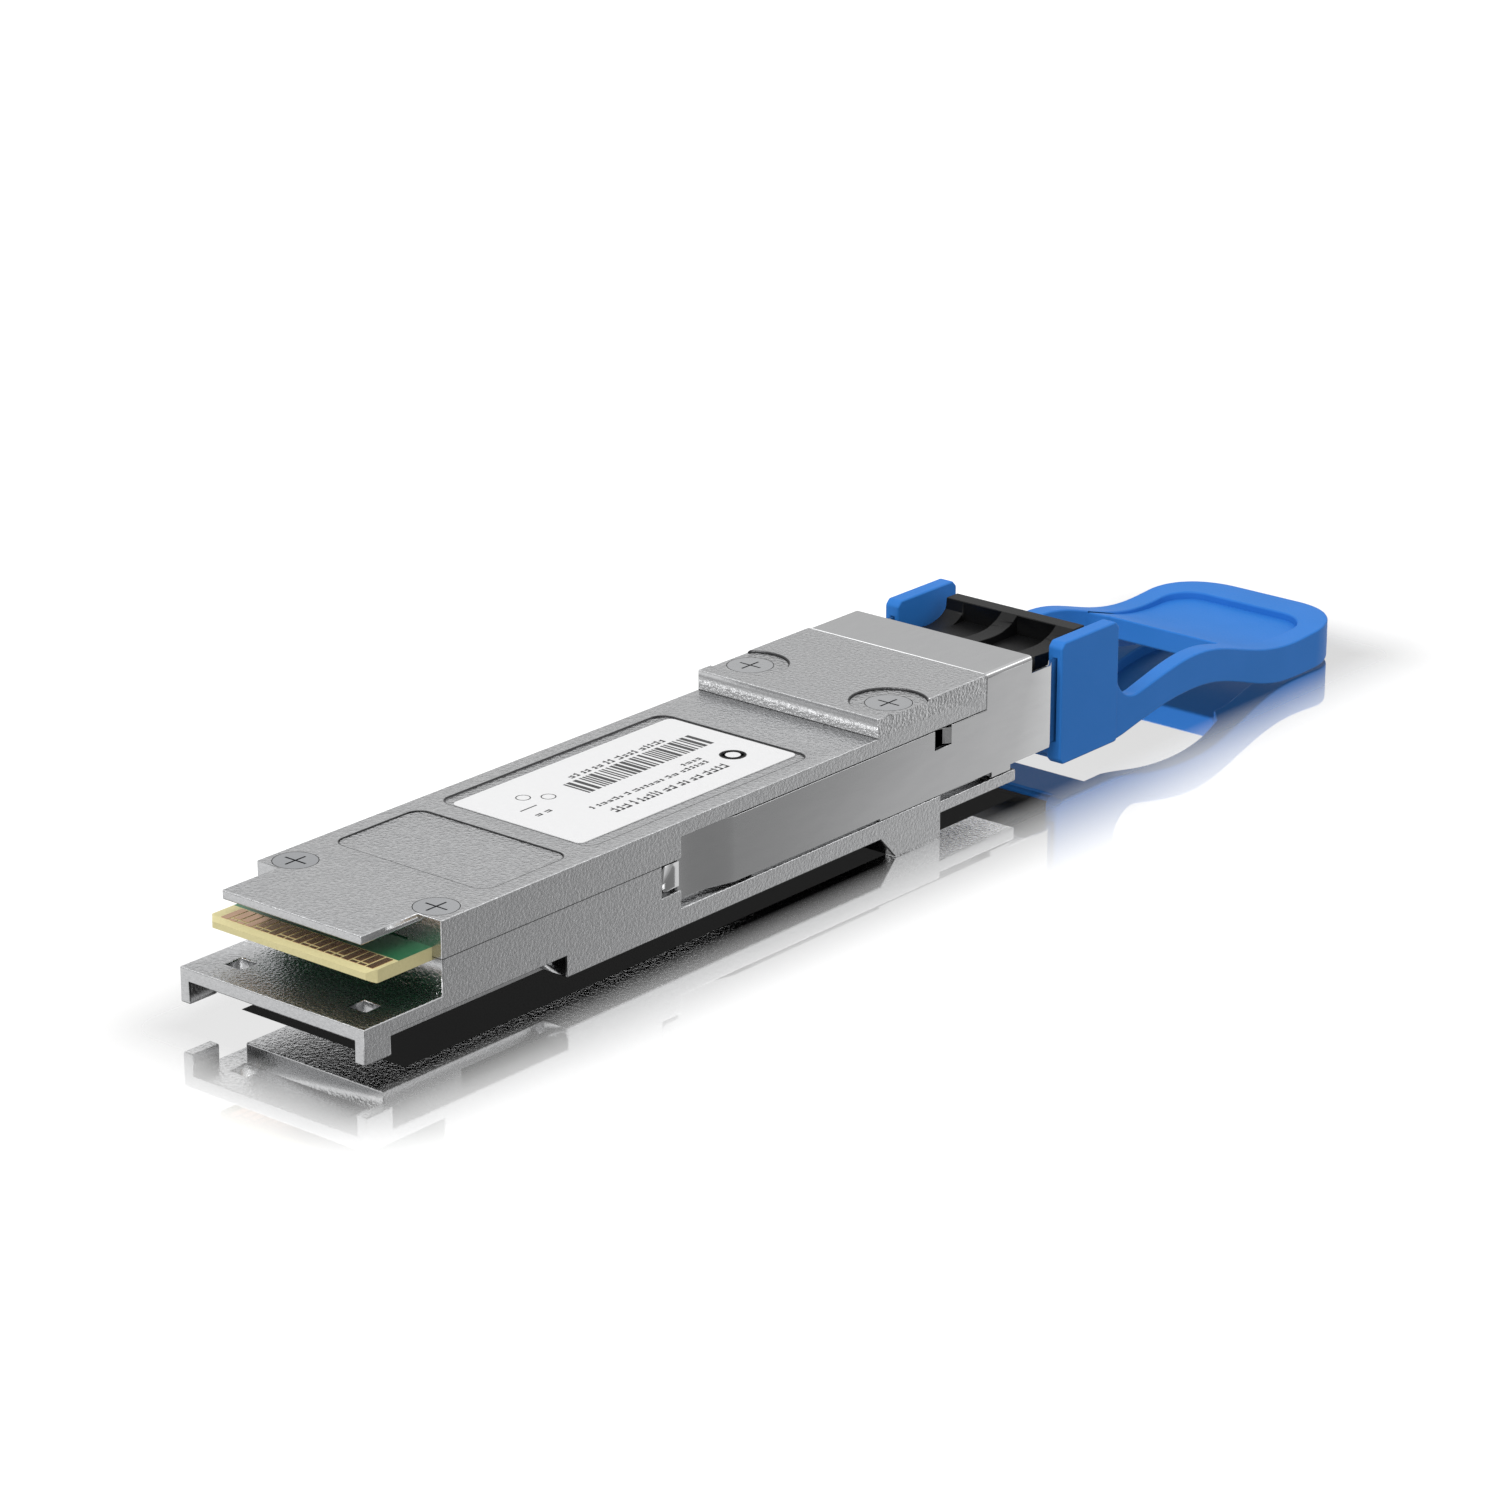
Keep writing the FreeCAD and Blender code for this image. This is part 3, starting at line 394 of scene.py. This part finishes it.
def sheet_metal():
    """Smooth satin stainless sheet with a faint rolling direction."""
    g = Graph("sheet_metal")
    streak = g.noise(1500.0, 2.0, 0.5, (1.0, 0.25, 1.0))
    speck = g.noise(14000.0, 1.0)
    colour = g.tint(g.ramp(streak, 0.0, 1.0, 0.35, 0.65), (0.535, 0.538, 0.544), (0.55, 0.553, 0.558))
    roughness = g.ramp(speck, 0.13, 0.17, 0.3, 0.7)
    normal = g.bump(streak, 0.0006 * MM)
    return g.surface(colour, roughness, 1.0, normal)


def screw_steel():
    """Turned screw heads, each a little different in tone."""
    g = Graph("screw_steel")
    rings = g.noise(2500.0, 2.0, 0.5, (1.0, 1.0, 0.1))
    tone = g.noise(40.0, 0.0)
    colour = g.tint(g.ramp(tone, 0.0, 1.0, 0.3, 0.7), (0.42, 0.43, 0.445), (0.63, 0.635, 0.645))
    roughness = g.ramp(rings, 0.24, 0.38, 0.3, 0.7)
    return g.surface(colour, roughness, 1.0, g.bump(rings, 0.002 * MM))


def spring_steel():
    g = Graph("spring_steel")
    mottle = g.noise(4000.0, 2.0)
    colour = g.tint(mottle, (0.50, 0.50, 0.49), (0.62, 0.62, 0.60))
    return g.surface(colour, g.ramp(mottle, 0.18, 0.32, 0.3, 0.7), 1.0)


def moulded(name, dark, light, rough, grain_height, **inputs):
    """Moulded polymer with a spark-eroded surface and slight flow mottling."""
    g = Graph(name)
    grain = g.noise(7000.0, 3.0, 0.6)
    flow = g.noise(160.0, 2.0, 0.5)
    colour = g.tint(g.ramp(flow, 0.0, 1.0, 0.35, 0.65), dark, light)
    roughness = g.ramp(grain, rough - 0.05, rough + 0.05, 0.3, 0.7)
    return g.surface(colour, roughness, 0.0, g.bump(grain, grain_height), **inputs)


def board_laminate():
    """Glass laminate: straw-coloured cut edges and contact field, green mask elsewhere."""
    g = Graph("board_laminate")
    _, along, _ = g.axes(g.place())
    _, _, facing_z = g.facing()
    weave = g.noise(5200.0, 2.0, 0.5)
    straw = g.tint(g.ramp(weave, 0.0, 1.0, 0.3, 0.7), (0.60, 0.54, 0.275), (0.65, 0.585, 0.31))
    copper_under = g.noise(300.0, 2.0)
    green = g.tint(g.ramp(copper_under, 0.0, 1.0, 0.4, 0.6), (0.022, 0.135, 0.058), (0.030, 0.165, 0.075))
    flat = g.ramp(g.math("ABSOLUTE", facing_z), 0.0, 1.0, 0.90, 0.96)
    inward = g.ramp(along, 1.0, 0.0, MASK_EDGE_Y - 0.02 * MM, MASK_EDGE_Y + 0.02 * MM)
    masked = g.math("MULTIPLY", flat, inward)
    colour = g.tint(masked, straw, green)
    roughness = g.ramp(masked, 0.55, 0.28, 0.0, 1.0)
    return g.surface(colour, roughness, 0.0, g.bump(weave, 0.001 * MM))


def gold_plating():
    g = Graph("gold_plating")
    tone = g.noise(1500.0, 2.0)
    colour = g.tint(tone, (0.52, 0.31, 0.19), (0.60, 0.38, 0.24))
    return g.surface(colour, g.ramp(tone, 0.12, 0.20, 0.3, 0.7), 0.85, g.bump(tone, 0.0005 * MM))


def label_film():
    g = Graph("label_film")
    fibre = g.noise(2200.0, 3.0, 0.6)
    colour = g.tint(fibre, (0.71, 0.71, 0.715), (0.75, 0.75, 0.755))
    return g.surface(colour, g.ramp(fibre, 0.42, 0.52, 0.3, 0.7), 0.0, g.bump(fibre, 0.001 * MM))


def label_ink():
    g = Graph("label_ink")
    mottle = g.noise(6000.0, 2.0)
    colour = g.tint(mottle, (0.018, 0.018, 0.019), (0.045, 0.045, 0.047))
    return g.surface(colour, g.ramp(mottle, 0.40, 0.55, 0.3, 0.7))


def package_metal():
    g = Graph("package_metal")
    streak = g.noise(1800.0, 2.0, 0.5, (1.0, 0.2, 1.0))
    colour = g.tint(streak, (0.62, 0.53, 0.33), (0.74, 0.64, 0.42))
    return g.surface(colour, g.ramp(streak, 0.22, 0.34, 0.3, 0.7), 1.0, g.bump(streak, 0.002 * MM))


def barrel_steel():
    g = Graph("barrel_steel")
    turning = g.noise(5000.0, 1.0, 0.5, (0.05, 1.0, 0.05))
    colour = g.tint(turning, (0.56, 0.56, 0.57), (0.66, 0.66, 0.67))
    return g.surface(colour, g.ramp(turning, 0.16, 0.28, 0.3, 0.7), 1.0, g.bump(turning, 0.003 * MM))


def zirconia():
    g = Graph("zirconia")
    cloud = g.noise(1200.0, 2.0)
    colour = g.tint(cloud, (0.86, 0.85, 0.81), (0.92, 0.91, 0.88))
    return g.surface(colour, g.ramp(cloud, 0.12, 0.2, 0.3, 0.7))


def flex_film():
    g = Graph("flex_film")
    traces = g.node("ShaderNodeTexWave", wave_type="BANDS", bands_direction="X")
    g.value(traces, Scale=420.0, Distortion=0.0)
    g.link(g.place(), traces.inputs["Vector"])
    bands = traces.outputs["Fac"]
    colour = g.tint(g.ramp(bands, 0.0, 1.0, 0.45, 0.55), (0.42, 0.20, 0.04), (0.62, 0.33, 0.10))
    return g.surface(colour, 0.3, 0.0, g.bump(bands, 0.01 * MM))


def chip_resin():
    g = Graph("chip_resin")
    grain = g.noise(9000.0, 2.0)
    colour = g.tint(grain, (0.020, 0.020, 0.022), (0.045, 0.045, 0.048))
    return g.surface(colour, g.ramp(grain, 0.5, 0.65, 0.3, 0.7), 0.0, g.bump(grain, 0.004 * MM))


def passive_ceramic():
    """Small ceramic bodies in mottled browns."""
    g = Graph("passive_ceramic")
    tone = g.noise(900.0, 1.0)
    colour = g.tint(tone, (0.30, 0.20, 0.12), (0.52, 0.42, 0.32))
    return g.surface(colour, g.ramp(tone, 0.35, 0.5, 0.3, 0.7))


def thermal_gel():
    g = Graph("thermal_gel")
    speckle = g.noise(5000.0, 2.0)
    colour = g.tint(speckle, (0.44, 0.55, 0.66), (0.60, 0.70, 0.78))
    return g.surface(colour, g.ramp(speckle, 0.6, 0.75, 0.3, 0.7), 0.0, g.bump(speckle, 0.01 * MM))


def make_materials():
    return {
        "cast_metal": cast_metal(),
        "sheet_metal": sheet_metal(),
        "screw_steel": screw_steel(),
        "spring_steel": spring_steel(),
        "black_polymer": moulded("black_polymer", (0.0030, 0.0030, 0.0032), (0.0044, 0.0044, 0.0047), 0.44,
                                 0.004 * MM, Specular_IOR_Level=0.22),
        "blue_polymer": moulded("blue_polymer", (0.026, 0.184, 0.580), (0.031, 0.194, 0.610), 0.50,
                                0.002 * MM, Specular_IOR_Level=0.14),
        "board_laminate": board_laminate(),
        "gold_plating": gold_plating(),
        "label_film": label_film(),
        "label_ink": label_ink(),
        "package_metal": package_metal(),
        "barrel_steel": barrel_steel(),
        "zirconia": zirconia(),
        "flex_film": flex_film(),
        "chip_resin": chip_resin(),
        "passive_ceramic": passive_ceramic(),
        "thermal_gel": thermal_gel(),
    }


MATERIALS = make_materials()
SLOT_OF = {entry["node"]: entry["material_slot"] for entry in frame["record"]["subparts"]}
BODY_OF = {
    node: body
    for body, members in frame["record"]["behaviour"]["bodies"].items()
    for node in members
}


# ------------------------------------------------------------------ mesh pieces

def dress(piece, material):
    """Puts one material on a whole piece."""
    piece.data.materials.clear()
    piece.data.materials.append(MATERIALS[material])


def new_piece(name, mesh, body, slot, material=None, replaced=()):
    """Links a mesh as a piece that rides on a body and takes a slot's finish."""
    piece = bpy.data.objects.new(name, mesh)
    bpy.context.scene.collection.objects.link(piece)
    dress(piece, material or slot)
    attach(piece, body)
    if replaced:
        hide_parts(*replaced)
    return piece


def welded(node):
    """The node's own surface as clean flat faces and smooth curved ones."""
    mesh = bmesh.new()
    mesh.from_mesh(frame["nodes"][node].data)
    bmesh.ops.remove_doubles(mesh, verts=mesh.verts, dist=0.001 * MM)
    bmesh.ops.dissolve_limit(
        mesh, angle_limit=math.radians(0.6), use_dissolve_boundaries=False,
        verts=mesh.verts, edges=mesh.edges, delimit={"NORMAL"},
    )
    return mesh


def edge_weight(edge, node):
    """Share of the full rounding: slim on the casting seam and beside the rear screw holes."""
    if node not in CASTINGS:
        return 1.0
    ends = [vert.co for vert in edge.verts]
    on_seam = max(abs(end.z - PARTING_Z) for end in ends) < SEAM_REACH
    at_rear = max(abs(end.y - REAR_FACE_Y) for end in ends) < SAME_PLANE
    on_top = min(end.z for end in ends) > COVER_TOP_Z - SAME_PLANE
    return SLIM_EDGE_SHARE if on_seam or (at_rear and on_top) else 1.0


def with_worn_edges(name, node, width, turn=35.0, crease=25.0, longest_skip=0.4, segments=3):
    """Copy of a CAD node whose sharp outer edges are rounded to the given width."""
    work = welded(node)
    weight = work.edges.layers.float.new("bevel_weight_edge")
    limit = math.radians(turn)
    for face in work.faces:
        face.smooth = True
    for edge in work.edges:
        if len(edge.link_faces) != 2:
            continue
        angle = edge.calc_face_angle(0.0)
        worn = angle >= limit and edge.is_convex and edge.calc_length() > longest_skip * MM
        edge.smooth = worn or angle < math.radians(crease)
        if worn:
            edge[weight] = edge_weight(edge, node)
    mesh = bpy.data.meshes.new(name)
    work.to_mesh(mesh)
    work.free()
    temporary = bpy.data.objects.new(name + "_temporary", mesh)
    bpy.context.scene.collection.objects.link(temporary)
    bevel = temporary.modifiers.new("edge", "BEVEL")
    bevel.limit_method = "WEIGHT"
    bevel.width = width
    bevel.segments = segments
    bevel.use_clamp_overlap = False
    shading = temporary.modifiers.new("shading", "WEIGHTED_NORMAL")
    shading.keep_sharp = True
    shading.weight = 100
    bpy.context.view_layer.update()
    graph = bpy.context.evaluated_depsgraph_get()
    finished = bpy.data.meshes.new_from_object(temporary.evaluated_get(graph))
    bpy.data.objects.remove(temporary)
    finished.name = name
    return new_piece(name, finished, BODY_OF[node], SLOT_OF[node], replaced=(node,))


def strip_mesh(name, boxes):
    """One mesh of thin blocks, each (low corner, high corner)."""
    mesh = bmesh.new()
    for low, high in boxes:
        size = high - low
        made = bmesh.ops.create_cube(mesh, size=1.0)["verts"]
        place = Matrix.Translation((low + high) / 2.0) @ Matrix.Diagonal((*size, 1.0))
        bmesh.ops.transform(mesh, matrix=place, verts=made)
    finished = bpy.data.meshes.new(name)
    mesh.to_mesh(finished)
    mesh.free()
    return finished


def ring_of(centre, radius, width, low, high, blocks):
    """Short blocks that make a thin printed ring."""
    boxes = []
    for index in range(blocks):
        angle = 2.0 * math.pi * index / blocks
        middle = centre + Vector((math.cos(angle), math.sin(angle), 0.0)) * radius
        half = Vector((width, width, 0.0)) / 2.0
        boxes.append((Vector((middle.x, middle.y, low)) - half, Vector((middle.x, middle.y, high)) + half))
    return boxes


def label_print():
    """Generic print: a bar strip, rows of dashes for small print, plain rings and a rule."""
    rng = random.Random(11)
    top = LABEL[1].z
    low, high = top - PRINT_LIFT * MM / 2.0, top + PRINT_LIFT * MM
    front = LABEL[0].y
    boxes = []

    def bar(x0, x1, d0, d1):
        boxes.append((Vector((x0 * MM, front + d0 * MM, low)), Vector((x1 * MM, front + d1 * MM, high))))

    def ring(place, radius, stroke, blocks):
        centre = Vector((place[0] * MM, front + place[1] * MM, 0.0))
        boxes.extend(ring_of(centre, radius * MM, stroke * MM, low, high, blocks))

    cursor = BAR_STRIP_D[0]
    while cursor < BAR_STRIP_D[1]:
        wide = rng.choice(BAR_WIDTHS)
        bar(*BAR_STRIP_X, cursor, cursor + wide)
        cursor += wide + rng.choice(BAR_GAPS)
    for x, height, cursor, stop in DASH_ROWS:
        while cursor < stop:
            run = rng.uniform(*DASH_RUN)
            tall = height * rng.uniform(*DASH_TALL)
            bar(x, x + tall, cursor, cursor + STROKE)
            bar(x, x + height * DASH_FOOT, cursor, cursor + run)
            crossbar = x + tall * DASH_CROSSBAR
            bar(crossbar, crossbar + STROKE, cursor, cursor + run)
            cursor += run + rng.choice(DASH_GAPS)
    bar(*RULE)
    for radius in MARK_RADII:
        ring(MARK_PLACE, radius, MARK_STROKE, MARK_BLOCKS)
    for place in SMALL_RINGS:
        ring(place, SMALL_RING_RADIUS, SMALL_RING_STROKE, SMALL_RING_BLOCKS)
    mesh = strip_mesh("label_print", boxes)
    return new_piece("label_print", mesh, BODY_OF["product_label"], "label_film", "label_ink")


def coil_spring(name, node):
    """Round-wire compression spring in the sleeve's envelope, closed at both ends."""
    low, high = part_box(node)
    centre = (low + high) / 2.0
    wire = SPRING_WIRE_RADIUS
    radius = (high.x - low.x) / 2.0 - wire
    length = high.y - low.y - 2.0 * wire
    closed = SPRING_CLOSED_SHARE
    end_pitch = SPRING_CLOSED_PITCH
    mesh = bmesh.new()
    rings = []
    for step in range(SPRING_TURNS * SPRING_STEPS + 1):
        share = step / (SPRING_TURNS * SPRING_STEPS)
        along = min(max((share - closed) / (1.0 - 2.0 * closed), 0.0), 1.0)
        rise = end_pitch * min(share / closed, 1.0) + end_pitch * max((share - 1.0 + closed) / closed, 0.0)
        y = low.y + wire + rise + along * (length - 2.0 * end_pitch)
        angle = 2.0 * math.pi * step / SPRING_STEPS
        out = Vector((math.cos(angle), 0.0, math.sin(angle)))
        middle = Vector((centre.x, y, centre.z)) + out * radius
        ring = []
        for side in range(SPRING_SIDES):
            around = 2.0 * math.pi * side / SPRING_SIDES
            offset = out * wire * math.cos(around) + Vector((0, 1, 0)) * wire * math.sin(around)
            ring.append(mesh.verts.new(middle + offset))
        rings.append(ring)
    for first, second in zip(rings, rings[1:]):
        for side in range(SPRING_SIDES):
            after = (side + 1) % SPRING_SIDES
            mesh.faces.new((first[side], first[after], second[after], second[side])).smooth = True
    mesh.faces.new(rings[0])
    mesh.faces.new(rings[-1])
    bmesh.ops.recalc_face_normals(mesh, faces=mesh.faces)
    finished = bpy.data.meshes.new(name)
    mesh.to_mesh(finished)
    mesh.free()
    piece = new_piece(name, finished, BODY_OF[node], "spring_steel", replaced=(node,))
    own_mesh(piece)
    return piece


def build_pieces():
    """Rounded or detailed pieces over the CAD nodes, then finishes on the rest."""
    with_worn_edges("cover_casting", "top_cover", CAST_EDGE)
    with_worn_edges("housing_casting", "bottom_housing", CAST_EDGE)
    with_worn_edges("slider_sheet", "delatch_slider", SHEET_EDGE, turn=50.0, crease=12.0, segments=2)
    with_worn_edges("tab_moulding", "pull_tab", TAB_EDGE, longest_skip=0.02, segments=4)
    with_worn_edges("receptacle_moulding", "lc_receptacle", PORT_EDGE)
    with_worn_edges("label_sheet", "product_label", LABEL_EDGE, longest_skip=0.05, segments=2)
    label_print()
    coil_spring("coil_right", "return_spring_right")
    coil_spring("coil_left", "return_spring_left")
    for node, piece in frame["nodes"].items():
        if not piece.hide_render:
            dress(piece, SLOT_OF[node])


# ---------------------------------------------------------------------- studio

def set_world():
    """Bright sky that rises in strength with height, dim towards the floor at one side, with strip lights."""
    world = bpy.data.worlds.new("studio")
    bpy.context.scene.world = world
    world.use_nodes = True
    tree = world.node_tree
    tree.nodes.clear()

    def node(kind, **values):
        made = tree.nodes.new(kind)
        for key, value in values.items():
            setattr(made, key, value)
        return made

    def remap(source, low, high, start, end):
        made = node("ShaderNodeMapRange", interpolation_type="SMOOTHSTEP")
        for key, value in (("From Min", start), ("From Max", end), ("To Min", low), ("To Max", high)):
            made.inputs[key].default_value = value
        tree.links.new(source, made.inputs["Value"])
        return made.outputs["Result"]

    def times(first, second):
        made = node("ShaderNodeMath", operation="MULTIPLY")
        tree.links.new(first, made.inputs[0])
        tree.links.new(second, made.inputs[1])
        return made.outputs["Value"]

    heading = node("ShaderNodeTexCoord").outputs["Generated"]
    split = node("ShaderNodeSeparateXYZ")
    tree.links.new(heading, split.inputs["Vector"])
    side = remap(split.outputs["X"], *SKY_SIDE)
    depth = remap(split.outputs["Z"], *SKY_DEPTH)
    below = times(side, depth)
    upward = remap(split.outputs["Z"], *SKY_HORIZON)
    rising = remap(split.outputs["Z"], *SKY_RISE)
    blend = node("ShaderNodeMix", data_type="FLOAT")
    tree.links.new(upward, blend.inputs["Factor"])
    tree.links.new(below, blend.inputs[2])
    tree.links.new(rising, blend.inputs[3])
    total = blend.outputs[0]
    for direction, inner, outer, brightness in STRIP_LIGHTS:
        toward = node("ShaderNodeVectorMath", operation="DOT_PRODUCT")
        tree.links.new(heading, toward.inputs[0])
        toward.inputs[1].default_value = Vector(direction).normalized()
        rim, core = (math.cos(math.radians(angle)) for angle in (outer, inner))
        lobe = remap(toward.outputs["Value"], 0.0, brightness, rim, core)
        added = node("ShaderNodeMath", operation="ADD")
        tree.links.new(total, added.inputs[0])
        tree.links.new(lobe, added.inputs[1])
        total = added.outputs["Value"]
    strength = node("ShaderNodeMath", operation="MULTIPLY")
    tree.links.new(total, strength.inputs[0])
    strength.inputs[1].default_value = SKY
    background = node("ShaderNodeBackground")
    background.inputs["Color"].default_value = (1.0, 1.0, 1.0, 1.0)
    tree.links.new(strength.outputs["Value"], background.inputs["Strength"])
    output = node("ShaderNodeOutputWorld")
    tree.links.new(background.outputs["Background"], output.inputs["Surface"])


def floor_material():
    """White floor whose gloss fades away from the module."""
    g = Graph("pale_floor")
    across, along, _ = g.axes(g.node("ShaderNodeNewGeometry").outputs["Position"])
    middle = (WHOLE_LOW + WHOLE_HIGH) / 2.0
    half = (WHOLE_HIGH - WHOLE_LOW) / 2.0
    gaps = []
    for place, centre, reach in ((across, middle.x, half.x), (along, middle.y, half.y)):
        away = g.math("ABSOLUTE", g.math("SUBTRACT", place, centre))
        gaps.append(g.math("MAXIMUM", g.math("SUBTRACT", away, reach), 0.0))
    gloss = g.ramp(g.length(*gaps), 1.0, 0.0, 0.0, MIRROR_FADE)
    eased = g.math("POWER", gloss, MIRROR_FADE_POWER)
    matt = g.node("ShaderNodeBsdfDiffuse")
    matt.inputs["Color"].default_value = (FLOOR_WHITE, FLOOR_WHITE, FLOOR_WHITE, 1.0)
    glow = g.node("ShaderNodeEmission")
    glow.inputs["Strength"].default_value = FLOOR_GLOW
    both = g.node("ShaderNodeAddShader")
    g.link(matt.outputs["BSDF"], both.inputs[0])
    g.link(glow.outputs["Emission"], both.inputs[1])
    mirror = g.node("ShaderNodeBsdfGlossy")
    mirror.inputs["Roughness"].default_value = MIRROR_ROUGHNESS
    mirror.inputs["Color"].default_value = (1.0, 1.0, 1.0, 1.0)
    mixed = g.node("ShaderNodeMixShader")
    g.link(eased, mixed.inputs["Fac"])
    g.link(both.outputs["Shader"], mixed.inputs[1])
    g.link(mirror.outputs["BSDF"], mixed.inputs[2])
    g.link(mixed.outputs["Shader"], g.output.inputs["Surface"])
    return g.material


def add_floor():
    mesh = bmesh.new()
    bmesh.ops.create_grid(mesh, x_segments=1, y_segments=1, size=FLOOR_SIZE / 2.0)
    finished = bpy.data.meshes.new("floor")
    mesh.to_mesh(finished)
    mesh.free()
    floor = bpy.data.objects.new("floor", finished)
    floor.location.z = WHOLE_LOW.z - FLOOR_DROP
    bpy.context.scene.collection.objects.link(floor)
    finished.materials.append(floor_material())
    floor.visible_glossy = False
    floor.visible_diffuse = False


def add_painted_shadow_sheet():
    """Dark sheet of painted shadow just above the floor, unseen itself, that the module's underside faces."""
    g = Graph("painted_shadow_sheet")
    mottle = g.noise(300.0, 2.0)
    # Near-black colour of the painted shadow sheet
    colour = g.tint(mottle, (0.010, 0.010, 0.010), (0.014, 0.014, 0.014))
    g.surface(colour, 0.9)
    inset = Vector((UNDERLAY_SIDE_INSET, UNDERLAY_END_INSET, 0.0))
    low = Vector(HOUSING[0]) + inset
    high = Vector((HOUSING[1].x, REAR_FACE_Y + UNDERLAY_REAR_REACH, 0.0)) - inset
    level = WHOLE_LOW.z - UNDERLAY_DROP
    mesh = bmesh.new()
    corners = [mesh.verts.new((x, y, level)) for x, y in (
        (low.x, low.y), (high.x, low.y), (high.x, high.y), (low.x, high.y),
    )]
    mesh.faces.new(corners)
    finished = bpy.data.meshes.new("painted_shadow_sheet")
    mesh.to_mesh(finished)
    mesh.free()
    finished.materials.append(g.material)
    sheet = bpy.data.objects.new("painted_shadow_sheet", finished)
    bpy.context.scene.collection.objects.link(sheet)
    sheet.visible_camera = False
    sheet.visible_shadow = False


def add_softbox(name, place, size, watts):
    """Large square area light aimed at the module's middle."""
    light = bpy.data.lights.new(name, "AREA")
    light.shape = "SQUARE"
    light.size = size
    light.energy = watts
    holder = bpy.data.objects.new(name, light)
    holder.location = place
    holder.rotation_euler = (-Vector(place)).to_track_quat("-Z", "Y").to_euler()
    bpy.context.scene.collection.objects.link(holder)


def add_camera():
    lens = bpy.data.cameras.new("camera")
    lens.lens = CAMERA_LENS
    lens.sensor_width = CAMERA_SENSOR
    lens.clip_start = CAMERA_NEAR
    camera = bpy.data.objects.new("camera", lens)
    back = Vector((
        math.sin(CAMERA_AZIMUTH) * math.cos(CAMERA_ELEVATION),
        -math.cos(CAMERA_AZIMUTH) * math.cos(CAMERA_ELEVATION),
        math.sin(CAMERA_ELEVATION),
    ))
    camera.location = CAMERA_PLACE
    camera.rotation_euler = back.to_track_quat("Z", "Y").to_euler()
    bpy.context.scene.collection.objects.link(camera)
    bpy.context.scene.camera = camera


build_pieces()
set_world()
add_floor()
add_painted_shadow_sheet()
add_softbox("key", KEY_PLACE, KEY_SIZE, KEY_WATTS)
add_camera()
bpy.context.scene.view_settings.view_transform = "Standard"
